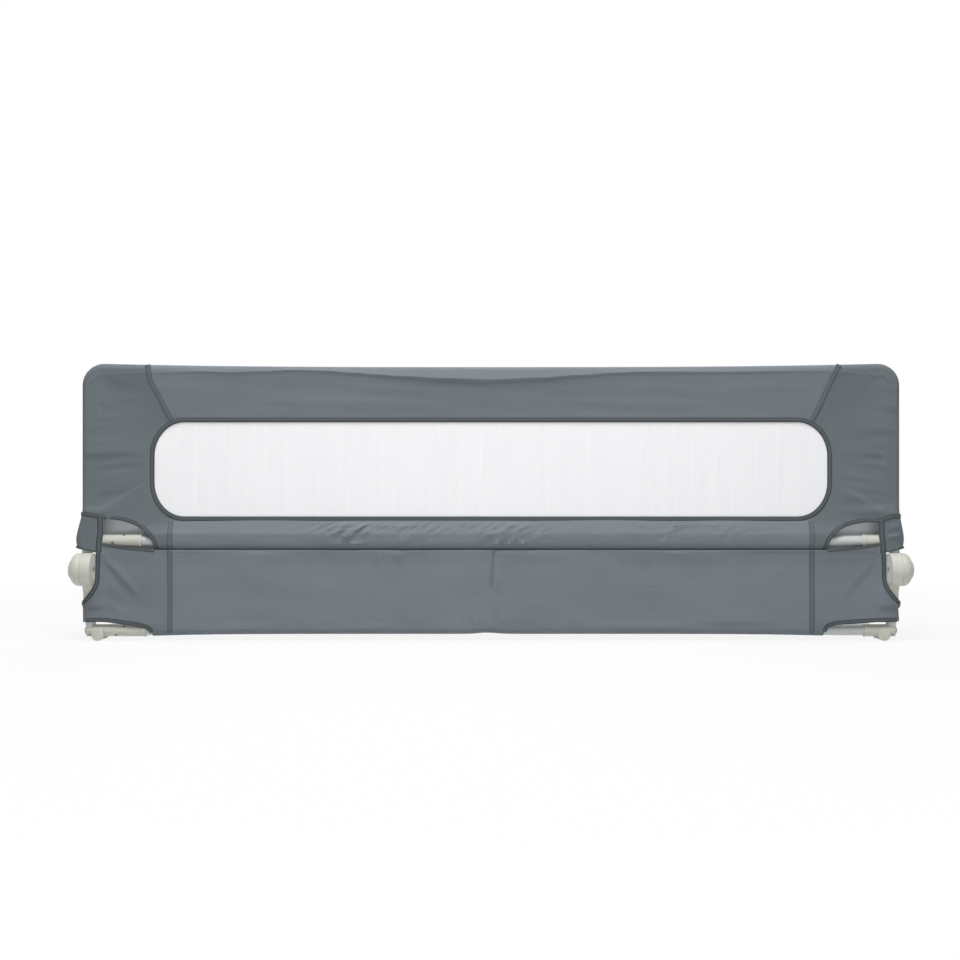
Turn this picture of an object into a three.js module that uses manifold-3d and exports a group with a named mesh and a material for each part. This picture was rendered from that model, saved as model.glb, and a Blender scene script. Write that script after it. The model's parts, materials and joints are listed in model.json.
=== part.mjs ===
// A folding guard for the side of a bed: a cloth cover with a mesh window on a tube frame,
// two lockable hubs that let it swing outward and down, and two legs that lie under the mattress.
// Millimetres. X runs along the guard, +Y points to the bed, +Z is up, zero is where it stands.
import * as THREE from 'three';
import { mergeVertices } from 'three/addons/utils/BufferGeometryUtils.js';
import Module from 'manifold-3d';

const wasm = await Module();
wasm.setup();

// Whole guard
const coverWidth = 1500;
const coverHeight = 508;
const topDip = 6;
const clothThickness = 1.2;
const clearance = 0.3;
const overrun = 5;

// Tubes
const tubeDiameter = 19;
const tubeWall = 1.2;
const joinerLength = 120;
const bendPlugLength = 22;
const middleRailHeight = 183;
const railAboveLeg = 7.4;
const bottomRailBow = 4;
const legReach = 430;
const legInset = 15;
const postStep = 3.5;

// Plastic fittings on the tubes
const sleeveWall = 1.3;
const socketWall = 3.7;
const lipHeight = 0.8;
const lipWidth = 4;
const longSleeveLength = 75;
const spigotLength = 44;
const middleSocketLength = 34;
const bottomSocketLength = 24;
const barrelSetback = 23;
const fittingSetback = 12;
const postSpigotDrop = 5;
const legSocketFront = 12;
const legSocketBack = 34;
const socketEdge = 1.2;

// Hubs
const pivotBelowRail = 52;
const pivotOffset = 16;
const hubRadius = 30;
const fixedHalfThickness = 19.5;
const movingHalfThickness = 18.7;
const hubEdge = 2;
const domeDepth = 12.5;
const armSocketDrop = 67.5;
const armSocketRise = 95;
const armSocketTopWall = 1.8;
const neckRise = 31;

// Lock inside each hub
const boltRadius = 3;
const boltHeadRadius = 5;
const boltHeadHeight = 2.5;
const boltHeadSink = 0.5;
const pocketFloor = 6;
const cogTeeth = 12;
const cogTipRadius = 20;
const cogRootRadius = 17;
const cogThickness = 11;
const cogEngagement = 4.5;
const webThickness = 3;
const toothRelief = 0.4;
const toothReliefDepth = 2;
const springRadius = 9;
const springWire = 1.2;
const springTurns = 4;
const springWellDepth = 4;
const washerThickness = 1.2;
const washerRadius = 7;
const nutHeight = 4;
const nutRadius = 5.8;
const boltEndSpare = 0.6;
const buttonRadius = 16;
const buttonStandOut = 4;
const buttonWall = 2.2;
const buttonTravel = 5.2;
const prongRadius = 2;
const prongCircle = 10.7;
const prongBarb = 0.7;
const prongBarbHeight = 1.5;
const prongGrooveDepth = 2.2;
const prongCount = 3;
const prongTurnShare = 0.25;

// Cover, window and skirt
const topCornerRadius = 40;
const creaseBelowRail = 16.5;
const sleeveFlare = 12;
const flareTopAboveRail = 62;
const flareBottomBelowRail = 3;
const lowerCornerRadius = 66;
const sewnMargin = 8;
const windowInset = 127;
const windowAboveRail = 39.5;
const windowDrop = 102.5;
const windowCornerWidth = 60;
const windowCornerShare = 0.368;
const meshThickness = 0.8;
const bindingOverCover = 4;
const bindingOverMesh = 5;
const bindingWeb = 1.4;
const openingInset = 28;
const openingWidth = 95;
const openingHeight = 57.5;
const sideHemRise = 9;
const hubCutTurn = 15;
const hubCutDrop = 59;
const hubCutShare = 0.5;
const cornerCutHeight = 35;
const cornerCutPastSleeve = 8.5;
const cornerCutEndHeight = 22;
const skirtTopRise = 7;

// Leg caps and screws
const capLength = 28;
const capWall = 1.6;
const footWidth = 16;
const footLength = 20;
const footHeight = 6;
const screwHeadRadius = 2.4;
const screwHeadHeight = 0.9;
const screwShankRadius = 1.2;
const screwLength = 4.4;

// Sizes worked out from those above
const tubeRadius = tubeDiameter / 2;
const boreRadius = tubeRadius - tubeWall;
const plugRadius = boreRadius - clearance;
const sleeveBore = tubeRadius + clearance;
const sleeveRadius = sleeveBore + sleeveWall;
const socketRadius = sleeveBore + socketWall;
const sidePostX = coverWidth / 2 - clothThickness - clearance - tubeRadius;
const lowerPostX = sidePostX - postStep;
const legX = lowerPostX - legInset;
const legHeight = sleeveRadius;
const pivotHeight = middleRailHeight - pivotBelowRail;
const creaseHeight = middleRailHeight - creaseBelowRail;
const flareTop = middleRailHeight + flareTopAboveRail;
const flareBottom = middleRailHeight - flareBottomBelowRail;
const bottomRailHeight = legHeight + railAboveLeg;
const topRailHeight = coverHeight - topDip - clothThickness - clearance - tubeRadius;
const bendRadius = topCornerRadius - clothThickness - clearance - tubeRadius;
const splitX = lowerPostX + tubeRadius;
const fixedFaceX = splitX - fixedHalfThickness;
const movingFaceX = splitX + clearance;
const domeFaceX = splitX + movingHalfThickness + clearance;
const pocketFloorX = fixedFaceX + pocketFloor;
const cogOuterX = splitX + cogEngagement + clearance;
const cogInnerX = cogOuterX - cogThickness;
const webInnerX = cogOuterX + clearance;
const webOuterX = webInnerX + webThickness;
const washerX = webOuterX + clearance;
const nutX = washerX + washerThickness + clearance;
const boltEndX = nutX + nutHeight + boltEndSpare;
const buttonFaceX = domeFaceX + buttonStandOut;
const buttonRimX = webOuterX + buttonTravel + clearance;
const buttonCeilingX = boltEndX + buttonTravel + clearance;
const middleBarrelEnd = sidePostX - barrelSetback;
const bottomBarrelEnd = legX - fittingSetback;
const armSocketBottom = pivotHeight - armSocketDrop;
const armSocketTop = pivotHeight + armSocketRise;
const sidePostFoot = middleRailHeight + sleeveRadius + socketWall;
const lowerPostTop = pivotHeight - hubRadius - socketWall;
const windowHalfWidth = coverWidth / 2 - windowInset;
const windowBottom = middleRailHeight + windowAboveRail;
const windowTop = coverHeight - windowDrop;
const windowCornerHeight = (windowTop - windowBottom) * windowCornerShare;
const openingOuterX = sidePostX - openingInset;
const openingTipX = openingOuterX - openingWidth;
const sideHemHeight = pivotHeight + hubRadius + clearance * 2;
const hubCutX = lowerPostX - socketRadius;
const hubCutBottom = pivotHeight - hubCutTurn;
const hubCutFoot = pivotHeight - hubCutDrop;
const cornerCutEndX = bottomBarrelEnd - longSleeveLength - cornerCutPastSleeve;
const skirtHalfWidth = lowerPostX;

const steel = { color: 0xc9cfd2, roughness: 0.35, metalness: 0.3 };
const plastic = { color: 0xc4c5ba, roughness: 0.5, metalness: 0 };
const screwSteel = { color: 0x6f7173, roughness: 0.4, metalness: 0.9 };
const rubber = { color: 0x8f908c, roughness: 0.8, metalness: 0 };
const cloth = { color: 0x6f757b, roughness: 0.85, metalness: 0 };
const tape = { color: 0x555c61, roughness: 0.8, metalness: 0 };
const net = { color: 0xefeff1, roughness: 0.9, metalness: 0 };
const springSteel = { color: 0x9a9da0, roughness: 0.3, metalness: 1 };
const cogPlastic = { color: 0x3d3f40, roughness: 0.5, metalness: 0 };

const roundSides = 16;
const hubSides = 24;
const screwSides = 8;
const springTurnSteps = 8;
const windowCornerSteps = 4;

// Solids and meshes

function signedVolume(geometry) {
  const at = geometry.attributes.position;
  const index = geometry.index;
  const [a, b, c] = [new THREE.Vector3(), new THREE.Vector3(), new THREE.Vector3()];
  let sum = 0;
  for (let i = 0; i < index.count; i += 3) {
    a.fromBufferAttribute(at, index.getX(i));
    b.fromBufferAttribute(at, index.getX(i + 1));
    c.fromBufferAttribute(at, index.getX(i + 2));
    sum += a.dot(b.cross(c));
  }
  return sum / 6;
}

// Makes a closed geometry into a solid with its faces pointing out.
function solid(geometry) {
  const bare = geometry.clone();
  bare.deleteAttribute('normal');
  bare.deleteAttribute('uv');
  const merged = mergeVertices(bare);
  const corners = merged.index.array;
  const kept = [];
  for (let i = 0; i < corners.length; i += 3) {
    const [a, b, c] = [corners[i], corners[i + 1], corners[i + 2]];
    if (a !== b && b !== c && c !== a) {
      kept.push(a, b, c);
    }
  }
  const triVerts = Uint32Array.from(kept);
  if (signedVolume(merged) < 0) {
    for (let i = 0; i < triVerts.length; i += 3) {
      [triVerts[i], triVerts[i + 1]] = [triVerts[i + 1], triVerts[i]];
    }
  }
  const vertProperties = Float32Array.from(merged.attributes.position.array);
  return new wasm.Manifold(new wasm.Mesh({ numProp: 3, vertProperties, triVerts }));
}

function geometryOf(body) {
  const mesh = body.getMesh();
  const geometry = new THREE.BufferGeometry();
  geometry.setAttribute('position', new THREE.BufferAttribute(Float32Array.from(mesh.vertProperties), 3));
  geometry.setIndex(Array.from(mesh.triVerts));
  geometry.computeVertexNormals();
  return geometry;
}

function mirrored(geometry) {
  const copy = geometry.clone().scale(-1, 1, 1);
  const index = copy.index.array;
  for (let i = 0; i < index.length; i += 3) {
    [index[i], index[i + 1]] = [index[i + 1], index[i]];
  }
  copy.computeVertexNormals();
  return copy;
}

const toX = new THREE.Matrix4().makeRotationZ(-Math.PI / 2);
const toZ = new THREE.Matrix4().makeRotationX(Math.PI / 2);
const toY = new THREE.Matrix4();

// A profile of [radius, place along the axis] turned about the axis, then set at a point.
function turned(profile, turn, at = [0, 0, 0], sides = roundSides) {
  const points = profile.map(([radius, along]) => new THREE.Vector2(radius, along));
  return solid(new THREE.LatheGeometry(points, sides).applyMatrix4(turn).translate(...at));
}

function rod(radius, from, to, turn, at, sides = roundSides) {
  return turned([[0, from], [radius, from], [radius, to], [0, to]], turn, at, sides);
}

function pipe(outer, inner, from, to, turn, at, sides = roundSides) {
  return turned([[inner, from], [outer, from], [outer, to], [inner, to], [inner, from]], turn, at, sides);
}

// An outline of [x, z] points extruded through y.
function slab(outline, fromY, toY2) {
  const shape = new THREE.Shape(outline.map(([x, z]) => new THREE.Vector2(x, z)));
  const geometry = new THREE.ExtrudeGeometry(shape, { depth: toY2 - fromY, bevelEnabled: false });
  return solid(geometry.rotateX(Math.PI / 2).translate(0, toY2, 0));
}

// A closed skin over rings of points, open ends capped unless the last ring joins the first.
function skinned(rings, loop = false) {
  const size = rings[0].length;
  const places = rings.flat().flatMap((p) => [p.x, p.y, p.z]);
  const faces = [];
  const last = loop ? rings.length : rings.length - 1;
  for (let i = 0; i < last; i += 1) {
    const next = (i + 1) % rings.length;
    for (let j = 0; j < size; j += 1) {
      const side = (j + 1) % size;
      faces.push(i * size + j, i * size + side, next * size + side);
      faces.push(i * size + j, next * size + side, next * size + j);
    }
  }
  if (!loop) {
    const end = (rings.length - 1) * size;
    for (let j = 0; j < size / 2 - 1; j += 1) {
      const [a, b, c, d] = [j, j + 1, size - 2 - j, size - 1 - j];
      faces.push(a, c, b, a, d, c);
      faces.push(end + a, end + b, end + c, end + a, end + c, end + d);
    }
  }
  const geometry = new THREE.BufferGeometry();
  geometry.setAttribute('position', new THREE.BufferAttribute(Float32Array.from(places), 3));
  geometry.setIndex(faces);
  return solid(geometry);
}

function otherEnd(outline) {
  return outline.map(([x, z]) => [-x, z]).reverse();
}

function mix(a, b, share) {
  return a + (b - a) * share;
}

function smooth(value, from, to) {
  return THREE.MathUtils.smoothstep((value - from) / (to - from), 0, 1);
}

// Tubes

function railJoiner(height) {
  const half = joinerLength / 2;
  return pipe(plugRadius, plugRadius - tubeWall, -half, half, toX, [0, 0, height]);
}

function straightTube(from, to, turn, at) {
  return pipe(tubeRadius, boreRadius, from, to, turn, at);
}

// The bottom rail is drawn up a little at mid width by the taut cover.
class BowedLine extends THREE.Curve {
  constructor(from, to) {
    super();
    Object.assign(this, { from, to });
  }

  getPoint(t) {
    const x = mix(this.from, this.to, t);
    return new THREE.Vector3(x, 0, bottomRailHeightAt(x));
  }
}

function bottomRailHeightAt(x) {
  const share = Math.min(Math.abs(x) / (bottomBarrelEnd - longSleeveLength), 1);
  return bottomRailHeight + bottomRailBow * (1 - share ** 2) ** 2;
}

function ringShape(outer, inner) {
  const shape = new THREE.Shape().absarc(0, 0, outer, 0, 2 * Math.PI);
  shape.holes.push(new THREE.Path().absarc(0, 0, inner, 0, 2 * Math.PI, true));
  return shape;
}

function tubeAlong(curve, steps) {
  const options = { extrudePath: curve, steps, curveSegments: roundSides / 2, bevelEnabled: false };
  return solid(new THREE.ExtrudeGeometry(ringShape(tubeRadius, boreRadius), options));
}

function bottomRail(isLong) {
  return tubeAlong(new BowedLine(clearance / 2, railEnd(bottomBarrelEnd, isLong)), 5);
}

function middleRail(isLong) {
  return straightTube(clearance / 2, railEnd(middleBarrelEnd, isLong), toX, [0, 0, middleRailHeight]);
}

function topRail() {
  return straightTube(clearance / 2, sidePostX - bendRadius - clearance, toX, [0, 0, topRailHeight]);
}

function sidePost() {
  return straightTube(sidePostFoot, topRailHeight - bendRadius - clearance, toZ, [sidePostX, 0, 0])
    .subtract(screwHole(upperArmScrew));
}

class QuarterTurn extends THREE.Curve {
  getPoint(t) {
    const angle = t * Math.PI / 2;
    const x = sidePostX - bendRadius + bendRadius * Math.cos(angle);
    const z = topRailHeight - bendRadius + bendRadius * Math.sin(angle);
    return new THREE.Vector3(x, 0, z);
  }
}

// The bend has a narrowed plug at each end, which the post and the top rail slide over.
function cornerBend() {
  const shoulder = 2;
  const plug = [
    [plugRadius - tubeWall, -shoulder * tubeWall],
    [boreRadius + tubeWall / 2, -shoulder * tubeWall],
    [boreRadius + tubeWall / 2, 0],
    [plugRadius, 0],
    [plugRadius, bendPlugLength],
    [plugRadius - tubeWall, bendPlugLength],
    [plugRadius - tubeWall, -shoulder * tubeWall],
  ];
  const down = new THREE.Matrix4().makeRotationX(-Math.PI / 2);
  const inward = new THREE.Matrix4().makeRotationZ(Math.PI / 2);
  const lower = turned(plug, down, [sidePostX, 0, topRailHeight - bendRadius]);
  const upper = turned(plug, inward, [sidePostX - bendRadius, 0, topRailHeight]);
  return tubeAlong(new QuarterTurn(), 6).add(lower).add(upper);
}

// Screws point at the centre of what they hold; angle is from straight down the -Y side upward.

function screwProfile(extra, headUp) {
  return [
    [0, -screwLength - extra],
    [screwShankRadius + extra, -screwLength - extra],
    [screwShankRadius + extra, -screwHeadHeight - extra],
    [screwHeadRadius + extra, -screwHeadHeight - extra],
    [screwHeadRadius + extra, headUp],
    [0, headUp],
  ];
}

// A place on a round part: direction is the way out of it, reach is how far the head's face lies.
function screwMatrix(centre, direction, reach) {
  const out = new THREE.Vector3(...direction).normalize();
  const turn = new THREE.Quaternion().setFromUnitVectors(new THREE.Vector3(0, 1, 0), out);
  const at = new THREE.Vector3(...centre).addScaledVector(out, reach);
  return new THREE.Matrix4().compose(at, turn, new THREE.Vector3(1, 1, 1));
}

function screw(place) {
  return turned(screwProfile(0, 0), place, [0, 0, 0], screwSides);
}

function screwHole(place) {
  return turned(screwProfile(clearance, overrun), place, [0, 0, 0], screwSides);
}

function aroundX(x, height, degrees, reach) {
  const angle = THREE.MathUtils.degToRad(degrees);
  return screwMatrix([x, 0, height], [0, -Math.cos(angle), Math.sin(angle)], reach);
}

const screwSink = clearance;
const sleeveScrewReach = sleeveRadius - screwSink;

function sleeveScrews(start, height, places) {
  return places.map(({ share, degrees }) => (
    aroundX(start - longSleeveLength * share, height, degrees, sleeveScrewReach)
  ));
}

const middleSleeveScrews = sleeveScrews(middleBarrelEnd, middleRailHeight, [
  { share: 0.31, degrees: -19 },
  { share: 0.57, degrees: 72 },
]);
const bottomSleeveScrews = sleeveScrews(bottomBarrelEnd, bottomRailHeight, [
  { share: 0.29, degrees: -48 },
  { share: 0.49, degrees: 50 },
]);
const cornerScrew = screwMatrix(
  [lowerPostX, 0, bottomRailHeight],
  [0, -1, -1],
  sleeveRadius - screwSink,
);
const armScrewShare = 0.45;
const lowerArmScrew = screwMatrix(
  [lowerPostX, 0, mix(armSocketBottom, lowerPostTop, armScrewShare)],
  [0, 1, 0],
  sleeveRadius + screwHeadHeight,
);
const upperArmScrew = screwMatrix(
  [sidePostX, 0, mix(armSocketTop, sidePostFoot, armScrewShare)],
  [0, 1, 0],
  sleeveRadius + screwHeadHeight,
);

// Barrels and sleeves on the rails

// The outside of a sleeve along X from one end to a lipped mouth at the other.
function lippedBarrel(from, mouth, height) {
  const lip = sleeveRadius + lipHeight;
  const inward = Math.sign(from - mouth);
  return turned([
    [0, mouth],
    [lip - lipHeight / 2, mouth],
    [lip, mouth + inward * lipHeight],
    [lip, mouth + inward * lipWidth],
    [sleeveRadius, mouth + inward * (lipWidth + lipHeight)],
    [sleeveRadius, from],
    [0, from],
  ], toX, [0, 0, height]);
}

function longSleeve(start, height, screws) {
  const mouth = start - clearance - longSleeveLength;
  let sleeve = lippedBarrel(start - clearance, mouth, height)
    .subtract(rod(sleeveBore, mouth - overrun, start + overrun, toX, [0, 0, height]));
  for (const place of screws) {
    sleeve = sleeve.subtract(screwHole(place));
  }
  return sleeve;
}

function railEnd(start, isLong) {
  return isLong ? start - spigotLength - clearance : start - clearance;
}

// The end of a fitting that takes a rail: a spigot for the long sleeve, or a short socket.
function railMouth(start, height, isLong, socketLength, screws) {
  if (!isLong) {
    const mouth = start - socketLength;
    return lippedBarrel(start + overrun, mouth, height)
      .subtract(rod(sleeveBore, mouth - overrun, start, toX, [0, 0, height]));
  }
  let spigot = rod(tubeRadius, start - spigotLength, start + overrun, toX, [0, 0, height]);
  for (const place of screws) {
    spigot = spigot.subtract(screwHole(place));
  }
  return spigot;
}

// Corner fitting

function fittingBarrel(extra) {
  const radius = sleeveRadius + extra;
  const steps = 6;
  const profile = [[0, bottomBarrelEnd - extra], [radius, bottomBarrelEnd - extra]];
  for (let i = 0; i <= steps; i += 1) {
    const angle = (i / steps) * Math.PI / 2;
    profile.push([radius * Math.cos(angle), lowerPostX + radius * Math.sin(angle)]);
  }
  profile[profile.length - 1][0] = 0;
  return turned(profile, toX, [0, 0, bottomRailHeight]);
}

function legSocket() {
  const front = -legSocketFront;
  return turned([
    [0, front],
    [sleeveRadius - socketEdge, front],
    [sleeveRadius, front + socketEdge],
    [sleeveRadius, legSocketBack],
    [0, legSocketBack],
  ], toY, [legX, 0, legHeight]);
}

function cornerFitting(isLong) {
  const boreFront = sleeveWall - legSocketFront;
  const legBore = rod(sleeveBore, boreFront, legSocketBack + overrun, toY, [legX, 0, legHeight]);
  const spigotTop = armSocketBottom - postSpigotDrop;
  const postSpigot = rod(plugRadius, bottomRailHeight, spigotTop, toZ, [lowerPostX, 0, 0]);
  const mouth = railMouth(bottomBarrelEnd, bottomRailHeight, isLong, bottomSocketLength, bottomSleeveScrews);
  return fittingBarrel(0)
    .add(mouth)
    .add(legSocket())
    .add(postSpigot)
    .subtract(legBore)
    .subtract(screwHole(cornerScrew));
}

function lowerPost() {
  const tube = straightTube(bottomRailHeight, lowerPostTop, toZ, [lowerPostX, 0, 0]);
  return tube
    .subtract(fittingBarrel(clearance))
    .subtract(screwHole(lowerArmScrew));
}

function leg() {
  const front = sleeveWall + clearance - legSocketFront;
  return straightTube(front, legReach - capWall - clearance, toY, [legX, 0, legHeight]);
}

function legCap() {
  const start = legReach - capLength;
  const crown = [
    [0, start],
    [sleeveRadius, start],
    [sleeveRadius, legReach - capWall],
    [sleeveRadius - capWall, legReach],
    [0, legReach],
  ];
  const foot = slab([
    [legX - footWidth / 2, 0],
    [legX + footWidth / 2, 0],
    [legX + footWidth / 2, footHeight],
    [legX - footWidth / 2, footHeight],
  ], start + capWall, start + capWall + footLength);
  return turned(crown, toY, [legX, 0, legHeight])
    .add(foot)
    .subtract(rod(sleeveBore, start - overrun, legReach - capWall, toY, [legX, 0, legHeight]));
}

// Hubs

const hubAt = [0, -pivotOffset, pivotHeight];

// A rounded box outline at one height: half sizes hx and hy, round at power 2 and squarer above it.
function armRing({ x, y, hx, hy, z, power }) {
  const ring = [];
  for (let i = 0; i < roundSides; i += 1) {
    const angle = (i / roundSides) * 2 * Math.PI;
    const [c, s] = [Math.cos(angle), Math.sin(angle)];
    const px = Math.sign(c) * Math.abs(c) ** (2 / power);
    const py = Math.sign(s) * Math.abs(s) ** (2 / power);
    ring.push(new THREE.Vector3(x + hx * px, y + hy * py, z));
  }
  return ring;
}

function cogOutline(tip, root, extra) {
  const shape = [];
  const [rootShares, tipShares] = [[0, 0.42], [0.54, 0.88]];
  for (let i = 0; i < cogTeeth; i += 1) {
    for (const share of rootShares) {
      shape.push([root + extra, share, share === 0 ? 1 : -1]);
    }
    for (const share of tipShares) {
      shape.push([tip + extra, share, share === tipShares[0] ? -1 : 1]);
    }
    for (let j = shape.length - 4; j < shape.length; j += 1) {
      const [radius, share, widen] = shape[j];
      const angle = ((i + share) / cogTeeth) * 2 * Math.PI + widen * (extra / radius);
      shape[j] = new THREE.Vector2(radius * Math.cos(angle), radius * Math.sin(angle));
    }
  }
  return new THREE.Shape(shape);
}

// A toothed prism about the hub's axis from one x to another.
function toothed(tip, root, extra, from, to) {
  const shape = cogOutline(tip, root, extra);
  const geometry = new THREE.ExtrudeGeometry(shape, { depth: to - from, bevelEnabled: false });
  const [x, y, z] = [new THREE.Vector3(1, 0, 0), new THREE.Vector3(0, 1, 0), new THREE.Vector3(0, 0, 1)];
  geometry.applyMatrix4(new THREE.Matrix4().makeBasis(y, z, x));
  return solid(geometry.translate(from, -pivotOffset, pivotHeight));
}

function onHub(radius, from, to, sides = roundSides) {
  return rod(radius, from, to, toX, hubAt, sides);
}

function hubRing(outer, inner, from, to) {
  return pipe(outer, inner, from, to, toX, hubAt);
}

function fixedDrum() {
  return turned([
    [0, fixedFaceX],
    [hubRadius - hubEdge, fixedFaceX],
    [hubRadius, fixedFaceX + hubEdge],
    [hubRadius, splitX],
    [0, splitX],
  ], toX, hubAt, hubSides);
}

// Where the moving half turns, with its clearance.
function movingSweep() {
  return onHub(hubRadius + clearance, splitX, domeFaceX + overrun, hubSides);
}

function fixedSweep() {
  return onHub(hubRadius + clearance, fixedFaceX - overrun, movingFaceX, hubSides);
}

function springWell(from, to) {
  const half = springWire / 2 + clearance * 2;
  return hubRing(springRadius + half, springRadius - half, from, to);
}

// Section of an arm that is round, with its middle in the plane of the tubes.
function roundRing(x, radius, z) {
  return { x, y: 0, hx: radius, hy: radius, z, power: 2 };
}

function lowerArm() {
  const half = fixedHalfThickness / 2;
  const rings = [
    { x: splitX - half, y: -pivotOffset / 2, hx: half, hy: hubRadius / 2, z: pivotHeight - half, power: 3 },
    { ...roundRing(lowerPostX, socketRadius, pivotHeight - hubRadius), y: -pivotOffset / 4 },
    roundRing(lowerPostX, socketRadius, lowerPostTop - socketWall),
    roundRing(lowerPostX, socketRadius, armSocketBottom + socketEdge),
    roundRing(lowerPostX, socketRadius - socketEdge, armSocketBottom),
  ];
  const boreTop = lowerPostTop + clearance;
  const postBore = rod(sleeveBore, armSocketBottom - overrun, boreTop, toZ, [lowerPostX, 0, 0]);
  const headSeatX = fixedFaceX + boltHeadHeight + boltHeadSink + clearance;
  return skinned(rings.map(armRing))
    .add(fixedDrum())
    .subtract(movingSweep())
    .subtract(postBore)
    .subtract(toothed(cogTipRadius, cogRootRadius, clearance, pocketFloorX, splitX + overrun))
    .subtract(springWell(pocketFloorX - springWellDepth, pocketFloorX + overrun))
    .subtract(onHub(boltRadius + clearance, fixedFaceX - overrun, splitX, screwSides))
    .subtract(onHub(boltHeadRadius + clearance, fixedFaceX - overrun, headSeatX))
    .subtract(screwHole(lowerArmScrew));
}

function movingDome() {
  const steps = 7;
  const faceRadius = buttonRadius + clearance + socketEdge;
  const profile = [[0, movingFaceX], [hubRadius, movingFaceX]];
  for (let i = 0; i <= steps; i += 1) {
    const angle = (i / steps) * Math.PI / 2;
    const radius = faceRadius + (hubRadius - faceRadius) * Math.cos(angle);
    profile.push([radius, domeFaceX - domeDepth + domeDepth * Math.sin(angle)]);
  }
  profile.push([0, domeFaceX]);
  return turned(profile, toX, hubAt, hubSides);
}

function placesOnCircle(radius) {
  const places = [];
  for (let i = 0; i < prongCount; i += 1) {
    const angle = ((i + prongTurnShare) / prongCount) * 2 * Math.PI;
    places.push([0, radius * Math.cos(angle) - pivotOffset, radius * Math.sin(angle) + pivotHeight]);
  }
  return places;
}

// The neck's sections above the moving drum, as shares of the drum, the socket and the pivot's offset.
const neckShares = {
  root: { inward: 0.25, forward: 0.5, width: 0.72, rise: 0.31 },
  waist: { inward: 0.5, forward: 0.33, width: 0.6, rise: 0.72 },
  top: { forward: 0.125, width: 0.72 },
};

function neckRing({ inward, forward, width, rise }, depth) {
  const half = movingHalfThickness / 2;
  return {
    x: movingFaceX + half - half * inward,
    y: -pivotOffset * forward,
    hx: half * width,
    hy: depth,
    z: pivotHeight + hubRadius * rise,
    power: 3,
  };
}

// The upper arm's upper socket narrows towards its mouth, as the cover's sleeve does over it.
function upperArm(isLong) {
  const { root, waist, top } = neckShares;
  const rings = [
    neckRing(root, hubRadius / 2),
    neckRing(waist, socketRadius),
    {
      ...roundRing(sidePostX + clothThickness, socketRadius * top.width, pivotHeight + neckRise),
      y: -pivotOffset * top.forward,
    },
    roundRing(sidePostX, socketRadius, middleRailHeight - sleeveRadius / 2),
    roundRing(sidePostX, socketRadius, middleRailHeight + sleeveRadius),
    roundRing(sidePostX, sleeveBore + armSocketTopWall, armSocketTop),
  ];
  const tBarrel = rod(sleeveRadius, middleBarrelEnd, sidePostX, toX, [0, 0, middleRailHeight]);
  const postBore = rod(sleeveBore, sidePostFoot - clearance, armSocketTop + overrun, toZ, [sidePostX, 0, 0]);
  const reliefRadius = cogTipRadius + toothRelief;
  let arm = skinned(rings.map(armRing))
    .subtract(fixedSweep())
    .add(movingDome())
    .add(tBarrel)
    .add(railMouth(middleBarrelEnd, middleRailHeight, isLong, middleSocketLength, middleSleeveScrews))
    .subtract(postBore)
    .subtract(toothed(reliefRadius + toothReliefDepth, reliefRadius, 0, splitX - overrun, webInnerX))
    .subtract(onHub(buttonRadius + clearance, webOuterX, domeFaceX + overrun, hubSides))
    .subtract(onHub(boltRadius + clearance, splitX - overrun, domeFaceX, screwSides))
    .subtract(screwHole(upperArmScrew));
  for (const place of placesOnCircle(prongCircle)) {
    const hole = prongRadius + clearance;
    arm = arm.subtract(rod(hole, webInnerX - overrun, webOuterX + overrun, toX, place, screwSides));
  }
  return arm;
}

function lockCog() {
  const grooveHalf = prongRadius + prongBarb + clearance;
  return toothed(cogTipRadius, cogRootRadius, 0, cogInnerX, cogOuterX)
    .subtract(onHub(boltRadius + clearance, cogInnerX - overrun, cogOuterX + overrun, screwSides))
    .subtract(springWell(cogInnerX - overrun, cogInnerX + springWellDepth))
    .subtract(hubRing(
      prongCircle + grooveHalf,
      prongCircle - grooveHalf,
      cogOuterX - prongGrooveDepth,
      cogOuterX + overrun,
    ));
}

class SpringLine extends THREE.Curve {
  constructor(from, to) {
    super();
    Object.assign(this, { from, to });
  }

  getPoint(t) {
    const angle = t * springTurns * 2 * Math.PI;
    return new THREE.Vector3(
      mix(this.from, this.to, t),
      springRadius * Math.cos(angle) - pivotOffset,
      springRadius * Math.sin(angle) + pivotHeight,
    );
  }
}

function lockSpring() {
  const from = pocketFloorX - springWellDepth + clearance + springWire / 2;
  const to = cogInnerX + springWellDepth - clearance - springWire / 2;
  const wire = new THREE.Shape().absarc(0, 0, springWire / 2, 0, 2 * Math.PI);
  const steps = springTurns * springTurnSteps;
  const options = { extrudePath: new SpringLine(from, to), steps, curveSegments: 3, bevelEnabled: false };
  return solid(new THREE.ExtrudeGeometry(wire, options));
}

function hubBolt() {
  const head = fixedFaceX + boltHeadSink;
  return turned([
    [0, head],
    [boltHeadRadius, head],
    [boltHeadRadius, head + boltHeadHeight],
    [boltRadius, head + boltHeadHeight],
    [boltRadius, boltEndX],
    [0, boltEndX],
  ], toX, hubAt, screwSides * 2);
}

function hubWasher() {
  return hubRing(washerRadius, boltRadius + clearance, washerX, washerX + washerThickness);
}

function hubNut() {
  const hexSides = 6;
  return rod(nutRadius, nutX, nutX + nutHeight, toX, hubAt, hexSides)
    .subtract(onHub(boltRadius + clearance, nutX - overrun, nutX + nutHeight + overrun, screwSides));
}

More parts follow.
